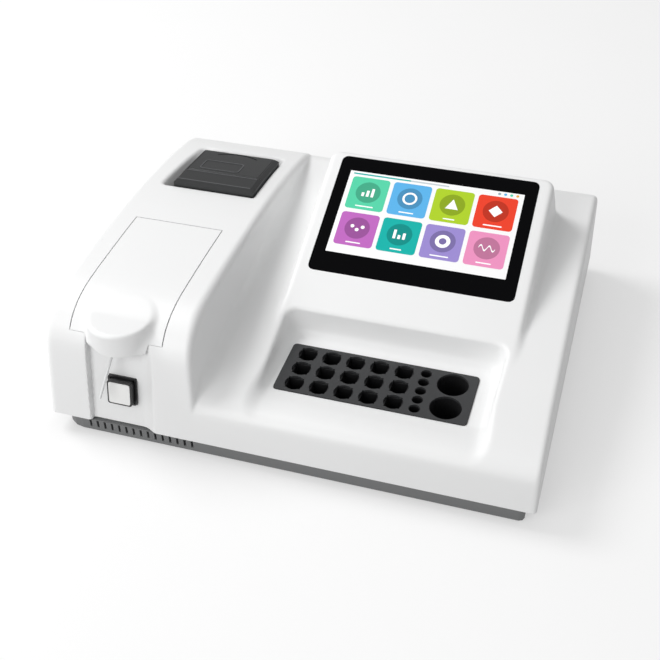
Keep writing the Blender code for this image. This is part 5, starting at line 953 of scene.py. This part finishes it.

# The two lines across the top, in the lighter charcoal that paints a highlight along the front edge
# and the ridge; each with its place from the front, its height and how proud it is
line_left, line_right, line_half, line_foot = -164.2, -95.4, 0.35, 0.4
top_lines = (47.6, 118.75, 0.3), (65.4, 117.25, 0.25)
bm = bmesh.new()
bm.from_mesh(rib_mesh)
for y, z, proud in top_lines:
    add_block(bm, (line_left, y - line_half, z - line_foot), (line_right, y + line_half, z + proud))
printer_ribs = add_piece("printer_ribs", close_mesh("printer_ribs", bm))
printer_ribs.data.materials.append(charcoal_painted_highlight)
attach(printer_ribs, "housing")

# Lid pin, probe and hose
# The lid turns on a steel pin. The needle hangs in a holder hooked over the front wall, and a
# clear hose joins it to the flow cell.

needle_sleeve, _ = skin_material("needle_sleeve", colour=(0.72, 0.73, 0.73), gloss=0.32,
                                 grain_size=0.0006, grain_depth=0.12, drift=0.03)
hose_clear = clear_material("hose_clear", colour=(0.82, 0.87, 0.88), roughness=0.2)
wear(rolled_steel, "lid_hinge_pin")
wear(needle_sleeve, "aspiration_needle")
wear(black_plastic, "needle_holder")
wear(hose_clear, "sample_hose")

# Table, light and camera
# A plain pale table top in matt paint, two large soft lamps and the photograph's own point of
# view. The table glows a little where the camera sees it, which keeps the background white.

table_half, table_glow = 6.0, 0.46
mesh = bpy.data.meshes.new("table_top")
bm = bmesh.new()
bmesh.ops.create_grid(bm, x_segments=1, y_segments=1, size=table_half)
bm.to_mesh(mesh)
bm.free()
table_top = add_piece("table_top", mesh)
table_paint, shader = skin_material("table_paint", colour=(0.50, 0.50, 0.50), gloss=0.7,
                                    grain_size=0.002, grain_depth=0.05, drift=0.01)
tree = table_paint.node_tree
ray = tree.nodes.new("ShaderNodeLightPath")
seen = link_maths(tree, "MAXIMUM", ray.outputs["Is Camera Ray"], ray.outputs["Is Transmission Ray"])
seen = link_maths(tree, "MAXIMUM", seen, ray.outputs["Is Glossy Ray"])
tree.links.new(link_maths(tree, "MULTIPLY", seen, table_glow), shader.inputs["Emission Strength"])
shader.inputs["Emission Color"].default_value = (1.0, 1.0, 1.0, 1.0)
shader.inputs["Specular IOR Level"].default_value = 0.1
mesh.materials.append(table_paint)


def soft_lamp(name, place, aim, size, power):
    """A round soft lamp that looks at a point."""
    lamp = bpy.data.lights.new(name, "AREA")
    lamp.shape = "DISK"
    lamp.size = size
    lamp.energy = power
    holder = bpy.data.objects.new(name, lamp)
    bpy.context.scene.collection.objects.link(holder)
    holder.location = place
    holder.rotation_euler = (Vector(aim) - Vector(place)).to_track_quat("-Z", "Y").to_euler()


middle_of_object = (0.0, 0.0, 0.05)
soft_lamp("key_lamp", place=(-1.4, 0.3, 1.7), aim=middle_of_object, size=1.0, power=24.5)
soft_lamp("fill_lamp", place=(-0.9, -1.8, 1.0), aim=middle_of_object, size=1.6, power=19.0)
world = bpy.data.worlds.new("studio")
bpy.context.scene.world = world
world.use_nodes = True
background = world.node_tree.nodes["Background"]
background.inputs["Color"].default_value = (1.0, 1.0, 1.0, 1.0)
background.inputs["Strength"].default_value = 0.49

turn, tilt, roll = radians(18.16), radians(40.0), radians(-1.65)
focal_pixels, picture_pixels, sensor = 1080.99, 660, 36.0
eye = Vector((0.22122, -0.70283, 0.63462))
back = Vector((sin(turn) * cos(tilt), -cos(turn) * cos(tilt), sin(tilt)))
right = Vector((cos(turn), sin(turn), 0.0))
up = back.cross(right)
right, up = right * cos(roll) + up * sin(roll), up * cos(roll) - right * sin(roll)
camera = bpy.data.cameras.new("camera")
camera.sensor_width = sensor
camera.lens = focal_pixels / picture_pixels * sensor
stand = bpy.data.objects.new("camera", camera)
bpy.context.scene.collection.objects.link(stand)
stand.matrix_world = Matrix(((right.x, up.x, back.x, eye.x), (right.y, up.y, back.y, eye.y),
                             (right.z, up.z, back.z, eye.z), (0.0, 0.0, 0.0, 1.0)))
bpy.context.scene.camera = stand
bpy.context.scene.view_settings.view_transform = "Standard"
